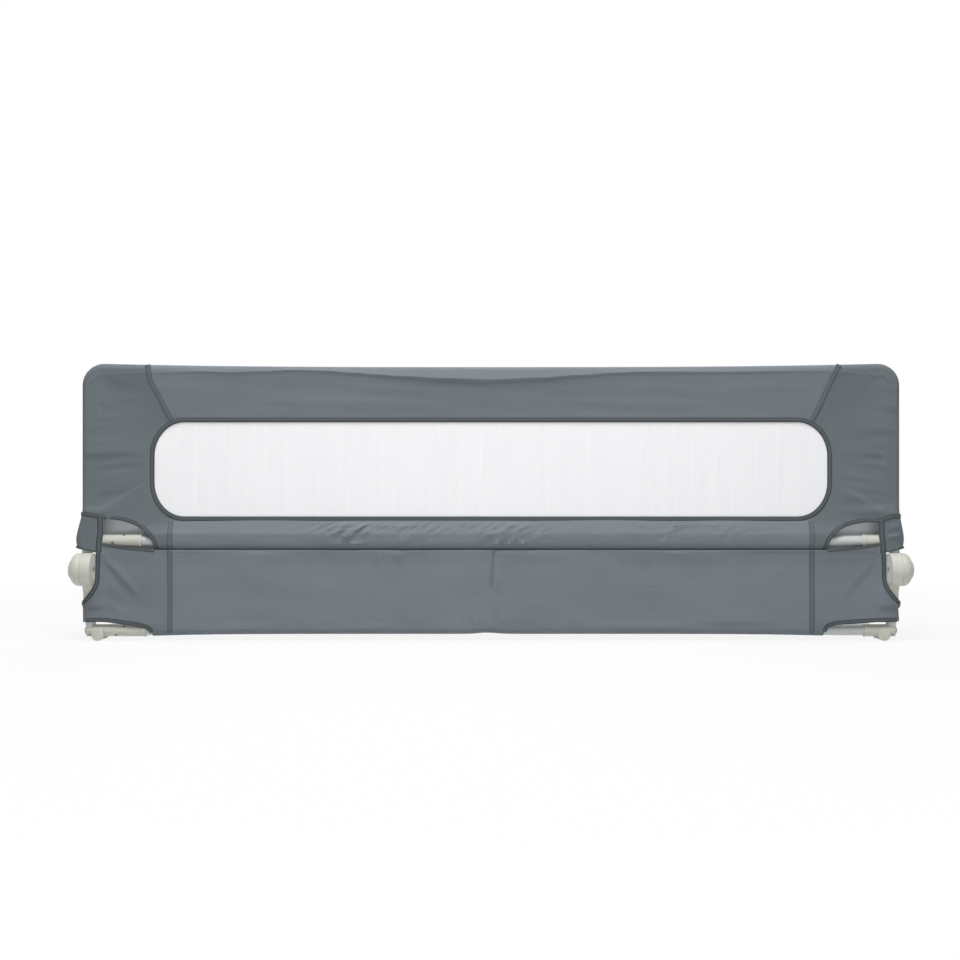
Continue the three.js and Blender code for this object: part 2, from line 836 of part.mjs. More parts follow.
function pushButton() {
  const edge = socketEdge;
  let button = turned([
    [0, buttonCeilingX],
    [buttonRadius - buttonWall, buttonCeilingX],
    [buttonRadius - buttonWall, buttonRimX],
    [buttonRadius, buttonRimX],
    [buttonRadius, buttonFaceX - edge],
    [buttonRadius - edge, buttonFaceX],
    [0, buttonFaceX],
  ], toX, hubAt, hubSides);
  const tip = cogOuterX - prongGrooveDepth + clearance;
  for (const place of placesOnCircle(prongCircle)) {
    button = button.add(rod(prongRadius, tip, buttonCeilingX + edge, toX, place, screwSides));
  }
  for (const place of placesOnCircle(prongCircle + prongBarb)) {
    button = button.add(rod(prongRadius, tip, tip + prongBarbHeight, toX, place, screwSides));
  }
  return button;
}

// Cover

function windowEdge(offset, steps) {
  const points = [];
  const [hw, cw, ch] = [windowHalfWidth, windowCornerWidth, windowCornerHeight];
  const corners = [
    [hw - cw, windowTop - ch, 0],
    [cw - hw, windowTop - ch, 1],
    [cw - hw, windowBottom + ch, 2],
    [hw - cw, windowBottom + ch, 3],
  ];
  for (const [x, z, quarter] of corners) {
    for (let i = 0; i <= steps; i += 1) {
      const angle = (quarter + i / steps) * Math.PI / 2;
      points.push([x + (cw + offset) * Math.cos(angle), z + (ch + offset) * Math.sin(angle)]);
    }
  }
  return points;
}

// Over the upper arms' sockets the cover is fuller, and it narrows above them.
const sleeveNarrowing = 20;
const armSleeveFull = armSocketTop + socketWall;
const armSleeveTop = armSocketTop + sleeveNarrowing;

function coverTopAt(x) {
  const share = Math.min(Math.abs(x) / (coverWidth / 2 - topCornerRadius), 1);
  return coverHeight - topDip * (1 - share ** 3);
}

function coverSideAt(z) {
  return coverWidth / 2 + sleeveFlare * smooth(z, flareTop, flareBottom);
}

// Half the cover's depth where it lies over the tubes and the fittings.
function coverHalfDepth(x, z) {
  const over = clearance + clothThickness;
  const armShare = smooth(z, armSleeveTop, armSleeveFull)
    * smooth(Math.abs(x), middleBarrelEnd - barrelSetback, sidePostX - socketRadius - socketEdge);
  const railShare = smooth(z, windowBottom + socketRadius, middleRailHeight + sleeveRadius);
  const arm = mix(tubeRadius, socketRadius, armShare);
  const rail = mix(tubeRadius, sleeveRadius + lipHeight, railShare);
  return Math.max(arm, rail) + over;
}

const shoulderDropShare = 0.6;
const lowerBendShare = 0.7;
const shoulderX = sidePostX - socketRadius - socketWall;
const shoulderTop = topRailHeight - tubeRadius * shoulderDropShare;
const shoulderBottom = middleRailHeight + sleeveRadius + clothThickness * 2;
const shoulderCorner = 5;
const lowerBendHeight = flareBottom + socketRadius * lowerBendShare;
const outlineBottom = lowerBendHeight - lowerCornerRadius;
const topFlatX = coverWidth / 2 - topCornerRadius;
const topFlatHeight = coverHeight - topCornerRadius;
const lowerFlatX = coverWidth / 2 + sleeveFlare - lowerCornerRadius;
const windowFlatX = windowHalfWidth - windowCornerWidth;
const shoulderFlatX = shoulderX - shoulderCorner;
const cornerSteps = 4;

// A station has matching points [x, z]: o on the cover's outer edge, c on the line where it leaves
// the tubes and w on the window's edge.

function sideStations() {
  const fullMiddle = (lowerBendHeight + armSleeveFull) / 2;
  const upperShares = [0.3, 0.65];
  const upper = upperShares.map((share) => mix(armSleeveTop, topFlatHeight, share));
  return [lowerBendHeight, fullMiddle, armSleeveFull, armSleeveTop, ...upper].map((z) => {
    const share = (z - lowerBendHeight) / (topFlatHeight - lowerBendHeight);
    return {
      o: [coverSideAt(z), z],
      c: [shoulderX, mix(shoulderBottom + shoulderCorner, shoulderTop - shoulderCorner, share)],
      w: [windowHalfWidth, mix(windowBottom + windowCornerHeight, windowTop - windowCornerHeight, share)],
    };
  });
}

// Stations round a corner, from step first to step last of its quarter turn; way is 1 up and -1 down.
function cornerStations(way, first, last) {
  const arc = (x, z, rx, rz, angle) => [x + rx * Math.cos(angle), z + rz * Math.sin(angle)];
  const stations = [];
  for (let i = first; i <= last; i += 1) {
    const angle = (way * i / cornerSteps) * Math.PI / 2;
    const [outerX, outerZ, radius, shoulder, window] = way > 0
      ? [topFlatX, topFlatHeight, topCornerRadius, shoulderTop, windowTop]
      : [lowerFlatX, lowerBendHeight, lowerCornerRadius, shoulderBottom, windowBottom];
    stations.push({
      o: arc(outerX, outerZ, radius, radius, angle),
      c: arc(shoulderFlatX, shoulder - way * shoulderCorner, shoulderCorner, shoulderCorner, angle),
      w: arc(windowFlatX, window - way * windowCornerHeight, windowCornerWidth, windowCornerHeight, angle),
    });
  }
  return stations;
}

function topStations() {
  const steps = 8;
  const stations = [];
  for (let i = 0; i <= steps; i += 1) {
    const share = mix(1, -1, i / steps);
    const x = topFlatX * share;
    stations.push({
      o: [x, coverTopAt(x)],
      c: [shoulderFlatX * share, shoulderTop],
      w: [windowFlatX * share, windowTop],
    });
  }
  return stations;
}

function bottomStations() {
  const steps = 6;
  const stations = [];
  for (let i = 1; i < steps; i += 1) {
    const share = mix(-1, 1, i / steps);
    stations.push({
      o: [lowerFlatX * share, outlineBottom],
      c: [shoulderFlatX * share, shoulderBottom],
      w: [windowFlatX * share, windowBottom],
    });
  }
  return stations;
}

function coverStations() {
  const flip = ([x, z]) => [-x, z];
  const across = ({ o, c, w }) => ({ o: flip(o), c: flip(c), w: flip(w) });
  const side = [...sideStations(), ...cornerStations(1, 0, cornerSteps - 1)];
  const lower = cornerStations(-1, 1, cornerSteps);
  return [
    ...side,
    ...topStations(),
    ...side.map(across).reverse(),
    ...lower.map(across),
    ...bottomStations(),
    ...lower.reverse(),
  ];
}

// One section of the cover at a station, from the window round the tube and back to the window.
function coverRing({ o, c, w }, inset, windowShare) {
  const span = Math.hypot(c[0] - o[0], c[1] - o[1]);
  const noseSteps = 4;
  const at = (from, to, share) => [mix(from[0], to[0], share), mix(from[1], to[1], share)];
  const half = [];
  const edge = clothThickness;
  const shoulder = coverHalfDepth(c[0], c[1]);
  const inner = at(c, w, windowShare);
  half.push([inner, mix(shoulder, edge, windowShare) - inset]);
  half.push([c, shoulder - inset]);
  for (let i = noseSteps; i >= 1; i -= 1) {
    const angle = (i / noseSteps) * Math.PI / 2;
    const depth = coverHalfDepth(o[0], o[1]);
    const nose = depth - inset;
    const along = inset + nose * (1 - Math.cos(angle));
    half.push([at(o, c, along / span), nose * Math.sin(angle)]);
  }
  const tip = at(o, c, inset / span);
  const front = half.map(([p, y]) => new THREE.Vector3(p[0], -y, p[1]));
  const back = half.map(([p, y]) => new THREE.Vector3(p[0], y, p[1])).reverse();
  return [...front, new THREE.Vector3(tip[0], 0, tip[1]), ...back];
}

// The opening in the front sheet through which the end of the middle rail shows.
function cornerOpening() {
  const steps = 9;
  const outline = [];
  for (let i = 0; i <= steps; i += 1) {
    const angle = (i / steps) * Math.PI / 2;
    const x = openingOuterX - openingWidth * Math.sin(angle);
    outline.push([x, creaseHeight + openingHeight * Math.cos(angle)]);
  }
  outline.push([openingTipX, creaseHeight - overrun]);
  outline.push([openingOuterX, creaseHeight - overrun]);
  return outline;
}

// What is cut away below: level at the crease, and at the ends a hem that rises outward over the hub.
function belowCover() {
  const end = coverWidth;
  const hemSlope = sideHemRise / (coverWidth / 2 + sleeveFlare - hubCutX);
  const endHeight = sideHemHeight + hemSlope * (end - hubCutX);
  const right = [
    [openingOuterX, creaseHeight],
    [openingOuterX, sideHemHeight],
    [hubCutX, sideHemHeight],
    [end, endHeight],
  ];
  const left = right.map(([x, z]) => [-x, z]).reverse();
  return [[-end, -end], [end, -end], ...right.reverse(), ...left.reverse()];
}

function cover() {
  const stations = coverStations();
  const outer = skinned(stations.map((s) => coverRing(s, 0, 1)), true);
  const room = skinned(stations.map((s) => {
    const span = Math.hypot(s.w[0] - s.c[0], s.w[1] - s.c[1]);
    return coverRing(s, clothThickness, 1 - sewnMargin / span);
  }), true);
  const opening = cornerOpening();
  return outer
    .subtract(room)
    .subtract(slab(belowCover(), -coverWidth, coverWidth))
    .subtract(slab(opening, -coverWidth, 0))
    .subtract(slab(otherEnd(opening), -coverWidth, 0));
}

function windowMesh() {
  const half = meshThickness / 2;
  return slab(windowEdge(-clearance * 2 - bindingWeb, windowCornerSteps), -half, half);
}

function windowBinding() {
  const stations = coverStations();
  const depth = clothThickness + clearance + clothThickness;
  const coverSpace = skinned(stations.map((s) => {
    const [shoulder, edge] = [coverHalfDepth(s.c[0], s.c[1]), clothThickness];
    const span = Math.hypot(s.w[0] - s.c[0], s.w[1] - s.c[1]);
    const to = 1 + clearance / span;
    const depthAt = (share) => mix(shoulder, edge, share) + clearance;
    const at = (share) => [mix(s.c[0], s.w[0], share), mix(s.c[1], s.w[1], share)];
    const [c, w] = [at(0), at(to)];
    return [
      new THREE.Vector3(w[0], -depthAt(1), w[1]),
      new THREE.Vector3(c[0], -depthAt(0), c[1]),
      new THREE.Vector3(c[0], depthAt(0), c[1]),
      new THREE.Vector3(w[0], depthAt(1), w[1]),
    ];
  }), true);
  const meshHalf = meshThickness / 2 + clearance;
  const face = depth + clothThickness;
  return slab(windowEdge(bindingOverCover, windowCornerSteps), -face, face)
    .subtract(slab(windowEdge(-bindingOverMesh, windowCornerSteps), -depth * 2, depth * 2))
    .subtract(coverSpace)
    .subtract(slab(windowEdge(-clearance - bindingWeb, windowCornerSteps), -meshHalf, meshHalf));
}

// Skirt

const skirtTopTuck = 31.5;
const tuckStart = creaseHeight - skirtTopTuck;
const armSwellStart = lowerPostTop - socketWall;

// How far the skirt's inner side stands in front of the tubes and the fittings.
function skirtDepth(x, z) {
  const overArm = smooth(z, armSocketBottom - socketRadius / 2, armSocketBottom)
    * smooth(Math.abs(x), hubCutX - barrelSetback, lowerPostX - socketRadius);
  const overSleeve = smooth(Math.abs(x), cornerCutEndX - barrelSetback, cornerCutEndX);
  const overRail = smooth(z, tuckStart, creaseHeight);
  const underDrum = smooth(z, armSwellStart, pivotHeight - hubRadius)
    * smooth(z, tuckStart, hubCutBottom)
    * smooth(Math.abs(x), hubCutX, lowerPostX);
  return clearance + Math.max(
    mix(tubeRadius, socketRadius + underDrum * pivotOffset / 4, overArm),
    mix(tubeRadius, sleeveRadius + lipHeight, Math.max(overRail, overSleeve)),
  );
}

// One section of the skirt: round the back of the bottom rail, under it and up the front.
function skirtRing(x) {
  const height = bottomRailHeightAt(x);
  const inner = [];
  const outer = [];
  const wrapSteps = 8;
  const reach = tubeRadius + clearance;
  for (let i = 0; i <= wrapSteps; i += 1) {
    const angle = -(i / wrapSteps) * Math.PI;
    const [c, s] = [Math.cos(angle), Math.sin(angle)];
    inner.push(new THREE.Vector3(x, reach * c, height + reach * s));
    outer.push(new THREE.Vector3(x, (reach + clothThickness) * c, height + (reach + clothThickness) * s));
  }
  const top = creaseHeight + skirtTopRise + overrun;
  const heights = [
    height + cornerCutEndHeight - bottomRailHeight,
    armSocketBottom - socketRadius / 2,
    armSocketBottom,
    armSwellStart,
    pivotHeight - hubRadius,
    hubCutBottom,
    tuckStart,
    creaseHeight,
    top,
  ];
  for (const z of heights) {
    const depth = skirtDepth(x, z);
    inner.push(new THREE.Vector3(x, -depth, z));
    outer.push(new THREE.Vector3(x, -depth - clothThickness, z));
  }
  return [...inner, ...outer.reverse()];
}

// What is cut away at one end: the hub's cut-out above and the lower corner's below.
function hubCut() {
  const steps = 6;
  const over = creaseHeight + overrun * 2;
  const footX = lowerPostX + socketRadius;
  const bend = new THREE.QuadraticBezierCurve(
    new THREE.Vector2(hubCutX, hubCutBottom),
    new THREE.Vector2(hubCutX, mix(hubCutBottom, hubCutFoot, hubCutShare)),
    new THREE.Vector2(footX, hubCutFoot),
  );
  const curve = bend.getPoints(steps).map((p) => [p.x, p.y]);
  return [[hubCutX, over], ...curve, [coverWidth, hubCutFoot], [coverWidth, over]];
}

function lowerCornerCut() {
  const steps = 6;
  const outline = [[cornerCutEndX, -overrun], [coverWidth, -overrun], [coverWidth, cornerCutHeight]];
  for (let i = 0; i <= steps; i += 1) {
    const share = 1 - i / steps;
    const x = mix(cornerCutEndX, skirtHalfWidth, share);
    outline.push([x, mix(cornerCutEndHeight, cornerCutHeight, Math.sin(share * Math.PI / 2))]);
  }
  return outline;
}

// The top edge follows the cover's crease, rises under the corner openings and stops below the side hem.
function aboveSkirt() {
  const end = coverWidth;
  const right = [
    [openingTipX, creaseHeight - clearance],
    [openingOuterX - clearance, creaseHeight + skirtTopRise - clearance],
    [openingOuterX - clearance, sideHemHeight - clearance],
    [end, sideHemHeight - clearance],
    [end, end],
  ];
  return [...otherEnd(right), ...right];
}

// The side of the skirt goes round the lower post and the lower arm's socket.
function postWrap() {
  const steps = 10;
  const heights = [
    cornerCutHeight,
    armSocketBottom - socketRadius / 2,
    armSocketBottom,
    armSwellStart,
    pivotHeight - hubRadius,
    hubCutBottom,
  ];
  const arc = (radius, z) => {
    const points = [];
    for (let i = 0; i <= steps; i += 1) {
      const angle = mix(-Math.PI / 2, Math.PI / 2, i / steps);
      points.push(new THREE.Vector3(lowerPostX + radius * Math.cos(angle), radius * Math.sin(angle), z));
    }
    return points;
  };
  return skinned(heights.map((z) => {
    const reach = skirtDepth(lowerPostX, z);
    return [...arc(reach, z), ...arc(reach + clothThickness, z).reverse()];
  }));
}

function skirt() {
  const sleeveStart = cornerCutEndX - barrelSetback;
  const armStart = hubCutX - barrelSetback;
  const middleShares = [0, 0.1, 0.2, 0.35, 0.5, 0.65, 0.85];
  const right = [
    ...middleShares.map((share) => share * sleeveStart),
    sleeveStart,
    (sleeveStart + cornerCutEndX) / 2,
    cornerCutEndX,
    armStart,
    (armStart + hubCutX) / 2,
    hubCutX,
    skirtHalfWidth,
  ];
  const columns = [...right.slice(1).reverse().map((x) => -x), ...right];
  const wrap = postWrap();
  let sheet = skinned(columns.map(skirtRing))
    .add(wrap)
    .add(solid(mirrored(geometryOf(wrap))))
    .subtract(slab(aboveSkirt(), -coverWidth, coverWidth));
  for (const cut of [hubCut(), lowerCornerCut()]) {
    sheet = sheet
      .subtract(slab(cut, -coverWidth, coverWidth))
      .subtract(slab(otherEnd(cut), -coverWidth, coverWidth));
  }
  return sheet;
}

// Assembly

const part = new THREE.Group();
const frame = new THREE.Group();
part.add(frame);
frame.position.y = -(legReach - pivotOffset - hubRadius) / 2;

function add(name, body, finish) {
  const geometry = body.isBufferGeometry ? body : geometryOf(body);
  const mesh = new THREE.Mesh(geometry, new THREE.MeshStandardMaterial(finish));
  mesh.name = name;
  frame.add(mesh);
}

// Pieces are made for the right end; a left one is mirrored.
function addLeft(name, body, finish) {
  add(name, mirrored(geometryOf(body)), finish);
}

// Only the ends of the rails differ between left and right.
function addPair(name, make, finish) {
  addLeft(`${name}_left`, make(true), finish);
  add(`${name}_right`, make(false), finish);
}

addPair('bottom_rail', bottomRail, steel);
add('bottom_rail_joiner', railJoiner(bottomRailHeight + bottomRailBow), steel);
addLeft('bottom_sleeve', longSleeve(bottomBarrelEnd, bottomRailHeight, bottomSleeveScrews), plastic);
addPair('corner_fitting', cornerFitting, plastic);
addPair('lower_post', lowerPost, steel);
addPair('leg', leg, steel);
addPair('leg_cap', legCap, rubber);
addPair('lower_arm', lowerArm, plastic);
addPair('corner_screw', () => screw(cornerScrew), screwSteel);
addPair('lower_arm_screw', () => screw(lowerArmScrew), screwSteel);
bottomSleeveScrews.forEach((place, i) => {
  addLeft(`bottom_sleeve_screw_${i + 1}`, screw(place), screwSteel);
});
addPair('hub_bolt', hubBolt, screwSteel);
addPair('hub_washer', hubWasher, screwSteel);
addPair('hub_nut', hubNut, screwSteel);
addPair('lock_spring', lockSpring, springSteel);
add('skirt', skirt(), cloth);

addPair('upper_arm', upperArm, plastic);
addPair('upper_arm_screw', () => screw(upperArmScrew), screwSteel);
addPair('side_post', sidePost, steel);
addPair('corner_bend', cornerBend, steel);
addPair('top_rail', topRail, steel);
add('top_rail_joiner', railJoiner(topRailHeight), steel);
addPair('middle_rail', middleRail, steel);
add('middle_rail_joiner', railJoiner(middleRailHeight), steel);
addLeft('middle_sleeve', longSleeve(middleBarrelEnd, middleRailHeight, middleSleeveScrews), plastic);
middleSleeveScrews.forEach((place, i) => {
  addLeft(`middle_sleeve_screw_${i + 1}`, screw(place), screwSteel);
});
add('cover', cover(), cloth);
add('window_mesh', windowMesh(), net);
add('window_binding', windowBinding(), tape);

addPair('push_button', pushButton, plastic);
addPair('lock_cog', lockCog, cogPlastic);

export default part;
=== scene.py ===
"""Dresses the folding bed guard rail: its cloth cover, mesh window, skirt, tubes and moulded hubs.

All making is in millimetres in the guard's own frame: X along the guard, +Y to the bed, +Z up, and
Y zero in the plane of its tubes. A finished piece is brought to metres in the row's frame.
"""

from __future__ import annotations

import json
import logging
import math
from dataclasses import dataclass, field
from enum import Enum
from typing import Callable, Iterable, Sequence

import bmesh
import bpy
from bmesh.types import BMesh, BMEdge, BMVert
from bpy.types import Material, Node, NodeSocket, NodeTree, Object
from mathutils import Matrix, Vector, noise

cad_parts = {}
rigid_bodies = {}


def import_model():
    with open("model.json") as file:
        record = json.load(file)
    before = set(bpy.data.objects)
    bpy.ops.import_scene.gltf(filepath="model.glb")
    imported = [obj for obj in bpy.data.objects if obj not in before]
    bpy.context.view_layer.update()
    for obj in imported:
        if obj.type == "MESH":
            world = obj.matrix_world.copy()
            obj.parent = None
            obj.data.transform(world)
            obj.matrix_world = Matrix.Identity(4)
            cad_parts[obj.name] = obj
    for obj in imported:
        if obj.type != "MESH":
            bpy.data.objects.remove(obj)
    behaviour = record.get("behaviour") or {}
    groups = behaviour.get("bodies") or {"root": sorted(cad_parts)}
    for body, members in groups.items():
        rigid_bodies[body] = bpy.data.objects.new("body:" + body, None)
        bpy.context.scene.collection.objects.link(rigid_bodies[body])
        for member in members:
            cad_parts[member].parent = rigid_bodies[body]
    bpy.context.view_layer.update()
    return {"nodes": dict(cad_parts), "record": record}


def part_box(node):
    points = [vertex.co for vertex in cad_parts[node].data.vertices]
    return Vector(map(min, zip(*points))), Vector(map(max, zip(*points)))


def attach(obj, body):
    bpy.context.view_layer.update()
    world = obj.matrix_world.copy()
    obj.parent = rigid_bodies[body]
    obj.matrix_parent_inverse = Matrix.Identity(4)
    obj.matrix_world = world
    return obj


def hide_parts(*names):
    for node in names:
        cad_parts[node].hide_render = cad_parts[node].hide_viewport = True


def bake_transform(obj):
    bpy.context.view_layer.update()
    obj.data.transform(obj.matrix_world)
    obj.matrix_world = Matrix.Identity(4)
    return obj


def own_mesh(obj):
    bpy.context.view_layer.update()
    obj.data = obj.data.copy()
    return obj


log = logging.getLogger("bed_guard")

TUBE_PLANE_Y = -192.0
METRE = 0.001
# a corner sharper than this, in degrees, is rounded
SHARP_CORNER = 40
# the seams below the window, and a place beyond either end
SEAM_FOOT_X = 587.5
BEYOND_X = 800.0

Point2 = tuple[float, float]


class Body(Enum):
    """The bodies of the guard that pieces ride on."""

    BASE = "base"
    GUARD = "guard"
    BUTTON_LEFT = "button_left"
    BUTTON_RIGHT = "button_right"


class Side(Enum):
    """The two ends of the guard, with the sign of their X."""

    LEFT = -1
    RIGHT = 1

    @property
    def word(self) -> str:
        """The end's name in node names."""
        return self.name.lower()

    @staticmethod
    def of(x: float) -> "Side":
        """The end at which a place lies."""
        return Side.LEFT if x < 0 else Side.RIGHT


class Along(Enum):
    """The axis about which a turned piece lies."""

    X = "X"
    Y = "Y"
    Z = "Z"

    @property
    def turn(self) -> Matrix:
        """The rotation that brings the Z axis to this one.

        Returns:
            A rotation matrix.
        """
        if self is Along.X:
            return Matrix.Rotation(math.pi / 2, 4, "Y")
        if self is Along.Y:
            return Matrix.Rotation(-math.pi / 2, 4, "X")
        return Matrix.Identity(4)


def mix(a: float, b: float, share: float) -> float:
    """The value that lies a share of the way from a to b."""
    return a + (b - a) * share


def smooth(value: float, start: float, end: float) -> float:
    """A soft step from 0 at start to 1 at end, which may be the lower of the two."""
    share = min(max((value - start) / (end - start), 0.0), 1.0)
    return share * share * (3 - 2 * share)


def bump(value: float, centre: float, width: float) -> float:
    """A soft hill of height 1 at centre that has died out two widths away."""
    return math.exp(-(((value - centre) / width) ** 2))


def ripple(a: float, b: float, c: float) -> float:
    """Smooth noise at a place, from about -1 to 1."""
    return noise.noise(Vector((a, b, c)))


def through(points: Sequence[Point2], value: float) -> float:
    """A smooth curve through points of rising place, read at one place.

    Args:
        points: (place, height) pairs.
        value: the place to read.

    Returns:
        The height there, held level beyond the ends.
    """
    if value <= points[0][0]:
        return points[0][1]
    for (x0, y0), (x1, y1) in zip(points, points[1:]):
        if value <= x1:
            return mix(y0, y1, smooth(value, x0, x1))
    return points[-1][1]


# Shape tools


def spun(profile: Sequence[Point2], along: Along, at: Sequence[float], sides: int = 48) -> BMesh:
    """Turns a profile into a closed round body.

    Args:
        profile: (radius, place along the axis) pairs; it starts and ends on the axis, or at one point.
        along: the axis that it lies on.
        at: where the axis' zero lies.
        sides: the number of steps round.

    Returns:
        The body as a bmesh.
    """
    bm = bmesh.new()
    verts = [bm.verts.new((radius, 0, place)) for radius, place in profile]
    edges = [bm.edges.new(pair) for pair in zip(verts, verts[1:])]
    bmesh.ops.spin(
        bm, geom=verts + edges, axis=(0, 0, 1), cent=(0, 0, 0), angle=2 * math.pi, steps=sides, use_merge=True
    )
    bmesh.ops.remove_doubles(bm, verts=bm.verts, dist=1e-4)
    bmesh.ops.dissolve_degenerate(bm, edges=bm.edges, dist=1e-5)
    bmesh.ops.transform(bm, matrix=Matrix.Translation(at) @ along.turn, verts=bm.verts)
    bmesh.ops.recalc_face_normals(bm, faces=bm.faces)
    return bm


def rounded(profile: Sequence[Point2], radius: float, steps: int = 3) -> list[Point2]:
    """Rounds the inner corners of a profile.

    Args:
        profile: the corners in order; the first and last stay sharp.
        radius: how far from a corner its rounding starts.
        steps: the number of steps in a corner.

    Returns:
        The new profile.
    """
    result: list[Point2] = [profile[0]]
    for before, corner, after in zip(profile, profile[1:], profile[2:]):
        b, c, a = Vector(before), Vector(corner), Vector(after)
        reach = min(radius, (b - c).length * 0.49, (a - c).length * 0.49)
        start = c + (b - c).normalized() * reach
        end = c + (a - c).normalized() * reach
        for i in range(steps + 1):
            t = i / steps
            p = start * (1 - t) ** 2 + c * (2 * t * (1 - t)) + end * t**2
            result.append((p.x, p.y))
    result.append(profile[-1])
    return result


def closed_profile(corners: Sequence[Point2], radius: float, steps: int = 3) -> list[Point2]:
    """Rounds every corner of a ring-shaped section and closes it on its first point."""
    middle = ((corners[0][0] + corners[1][0]) / 2, (corners[0][1] + corners[1][1]) / 2)
    return rounded([middle, *corners[1:], corners[0], middle], radius, steps)


def pipe(outer: float, inner: float, start: float, end: float, along: Along, at: Sequence[float]) -> BMesh:
    """A tube with softened ends."""
    corners = [(inner, start), (outer, start), (outer, end), (inner, end)]
    return spun(closed_profile(corners, 0.4), along, at)


def rod(radius: float, start: float, end: float, along: Along, at: Sequence[float], sides: int = 48) -> BMesh:
    """A plain round bar, used to join or cut."""
    return spun([(0, start), (radius, start), (radius, end), (0, end)], along, at, sides)


def box(low: Sequence[float], high: Sequence[float]) -> BMesh:
    """A block between two corners, used to join or cut.

    Args:
        low: its lowest corner.
        high: its highest corner.

    Returns:
        The block as a bmesh.
    """
    bm = bmesh.new()
    bmesh.ops.create_cube(bm, size=1)
    size = [b - a for a, b in zip(low, high)]
    centre = [(a + b) / 2 for a, b in zip(low, high)]
    bmesh.ops.scale(bm, vec=size, verts=bm.verts)
    bmesh.ops.translate(bm, vec=centre, verts=bm.verts)
    return bm


@dataclass
class Ring:
    """One section of a moulded arm: a rounded box at a height, round at power 2, squarer above."""

    x: float
    y: float
    half_x: float
    half_y: float
    z: float
    power: float

    def toward(self, other: "Ring", share: float) -> "Ring":
        """The section that lies a share of the way to another."""
        pairs = zip(vars(self).values(), vars(other).values())
        return Ring(*(mix(a, b, share) for a, b in pairs))


def lofted(rings: Sequence[Ring], between: int = 4, count: int = 48) -> BMesh:
    """Bridges sections into one closed arm.

    Args:
        rings: the sections in order of height.
        between: how many steps lie between two of them.
        count: points in a section.

    Returns:
        The arm as a bmesh.
    """
    sections = [rings[0]]
    for a, b in zip(rings, rings[1:]):
        sections += [a.toward(b, smooth(i, 0, between)) for i in range(1, between + 1)]
        for i, section in enumerate(sections[-between:], start=1):
            section.z = mix(a.z, b.z, i / between)
    bm = bmesh.new()
    loops = []
    for ring in sections:
        made = bmesh.ops.create_circle(bm, cap_ends=False, segments=count, radius=1)["verts"]
        for vert in made:
            px = math.copysign(abs(vert.co.x) ** (2 / ring.power), vert.co.x)
            py = math.copysign(abs(vert.co.y) ** (2 / ring.power), vert.co.y)
            vert.co = Vector((ring.x + ring.half_x * px, ring.y + ring.half_y * py, ring.z))
        bm.edges.index_update()
        loops.append(sorted({edge for vert in made for edge in vert.link_edges}, key=lambda e: e.index))
    for lower, upper in zip(loops, loops[1:]):
        bmesh.ops.bridge_loops(bm, edges=lower + upper)
    bmesh.ops.holes_fill(bm, edges=bm.edges, sides=0)
    bmesh.ops.recalc_face_normals(bm, faces=bm.faces)
    return bm


class Cut(Enum):
    """What a second body does to a first."""

    JOIN = "UNION"
    CUT = "DIFFERENCE"


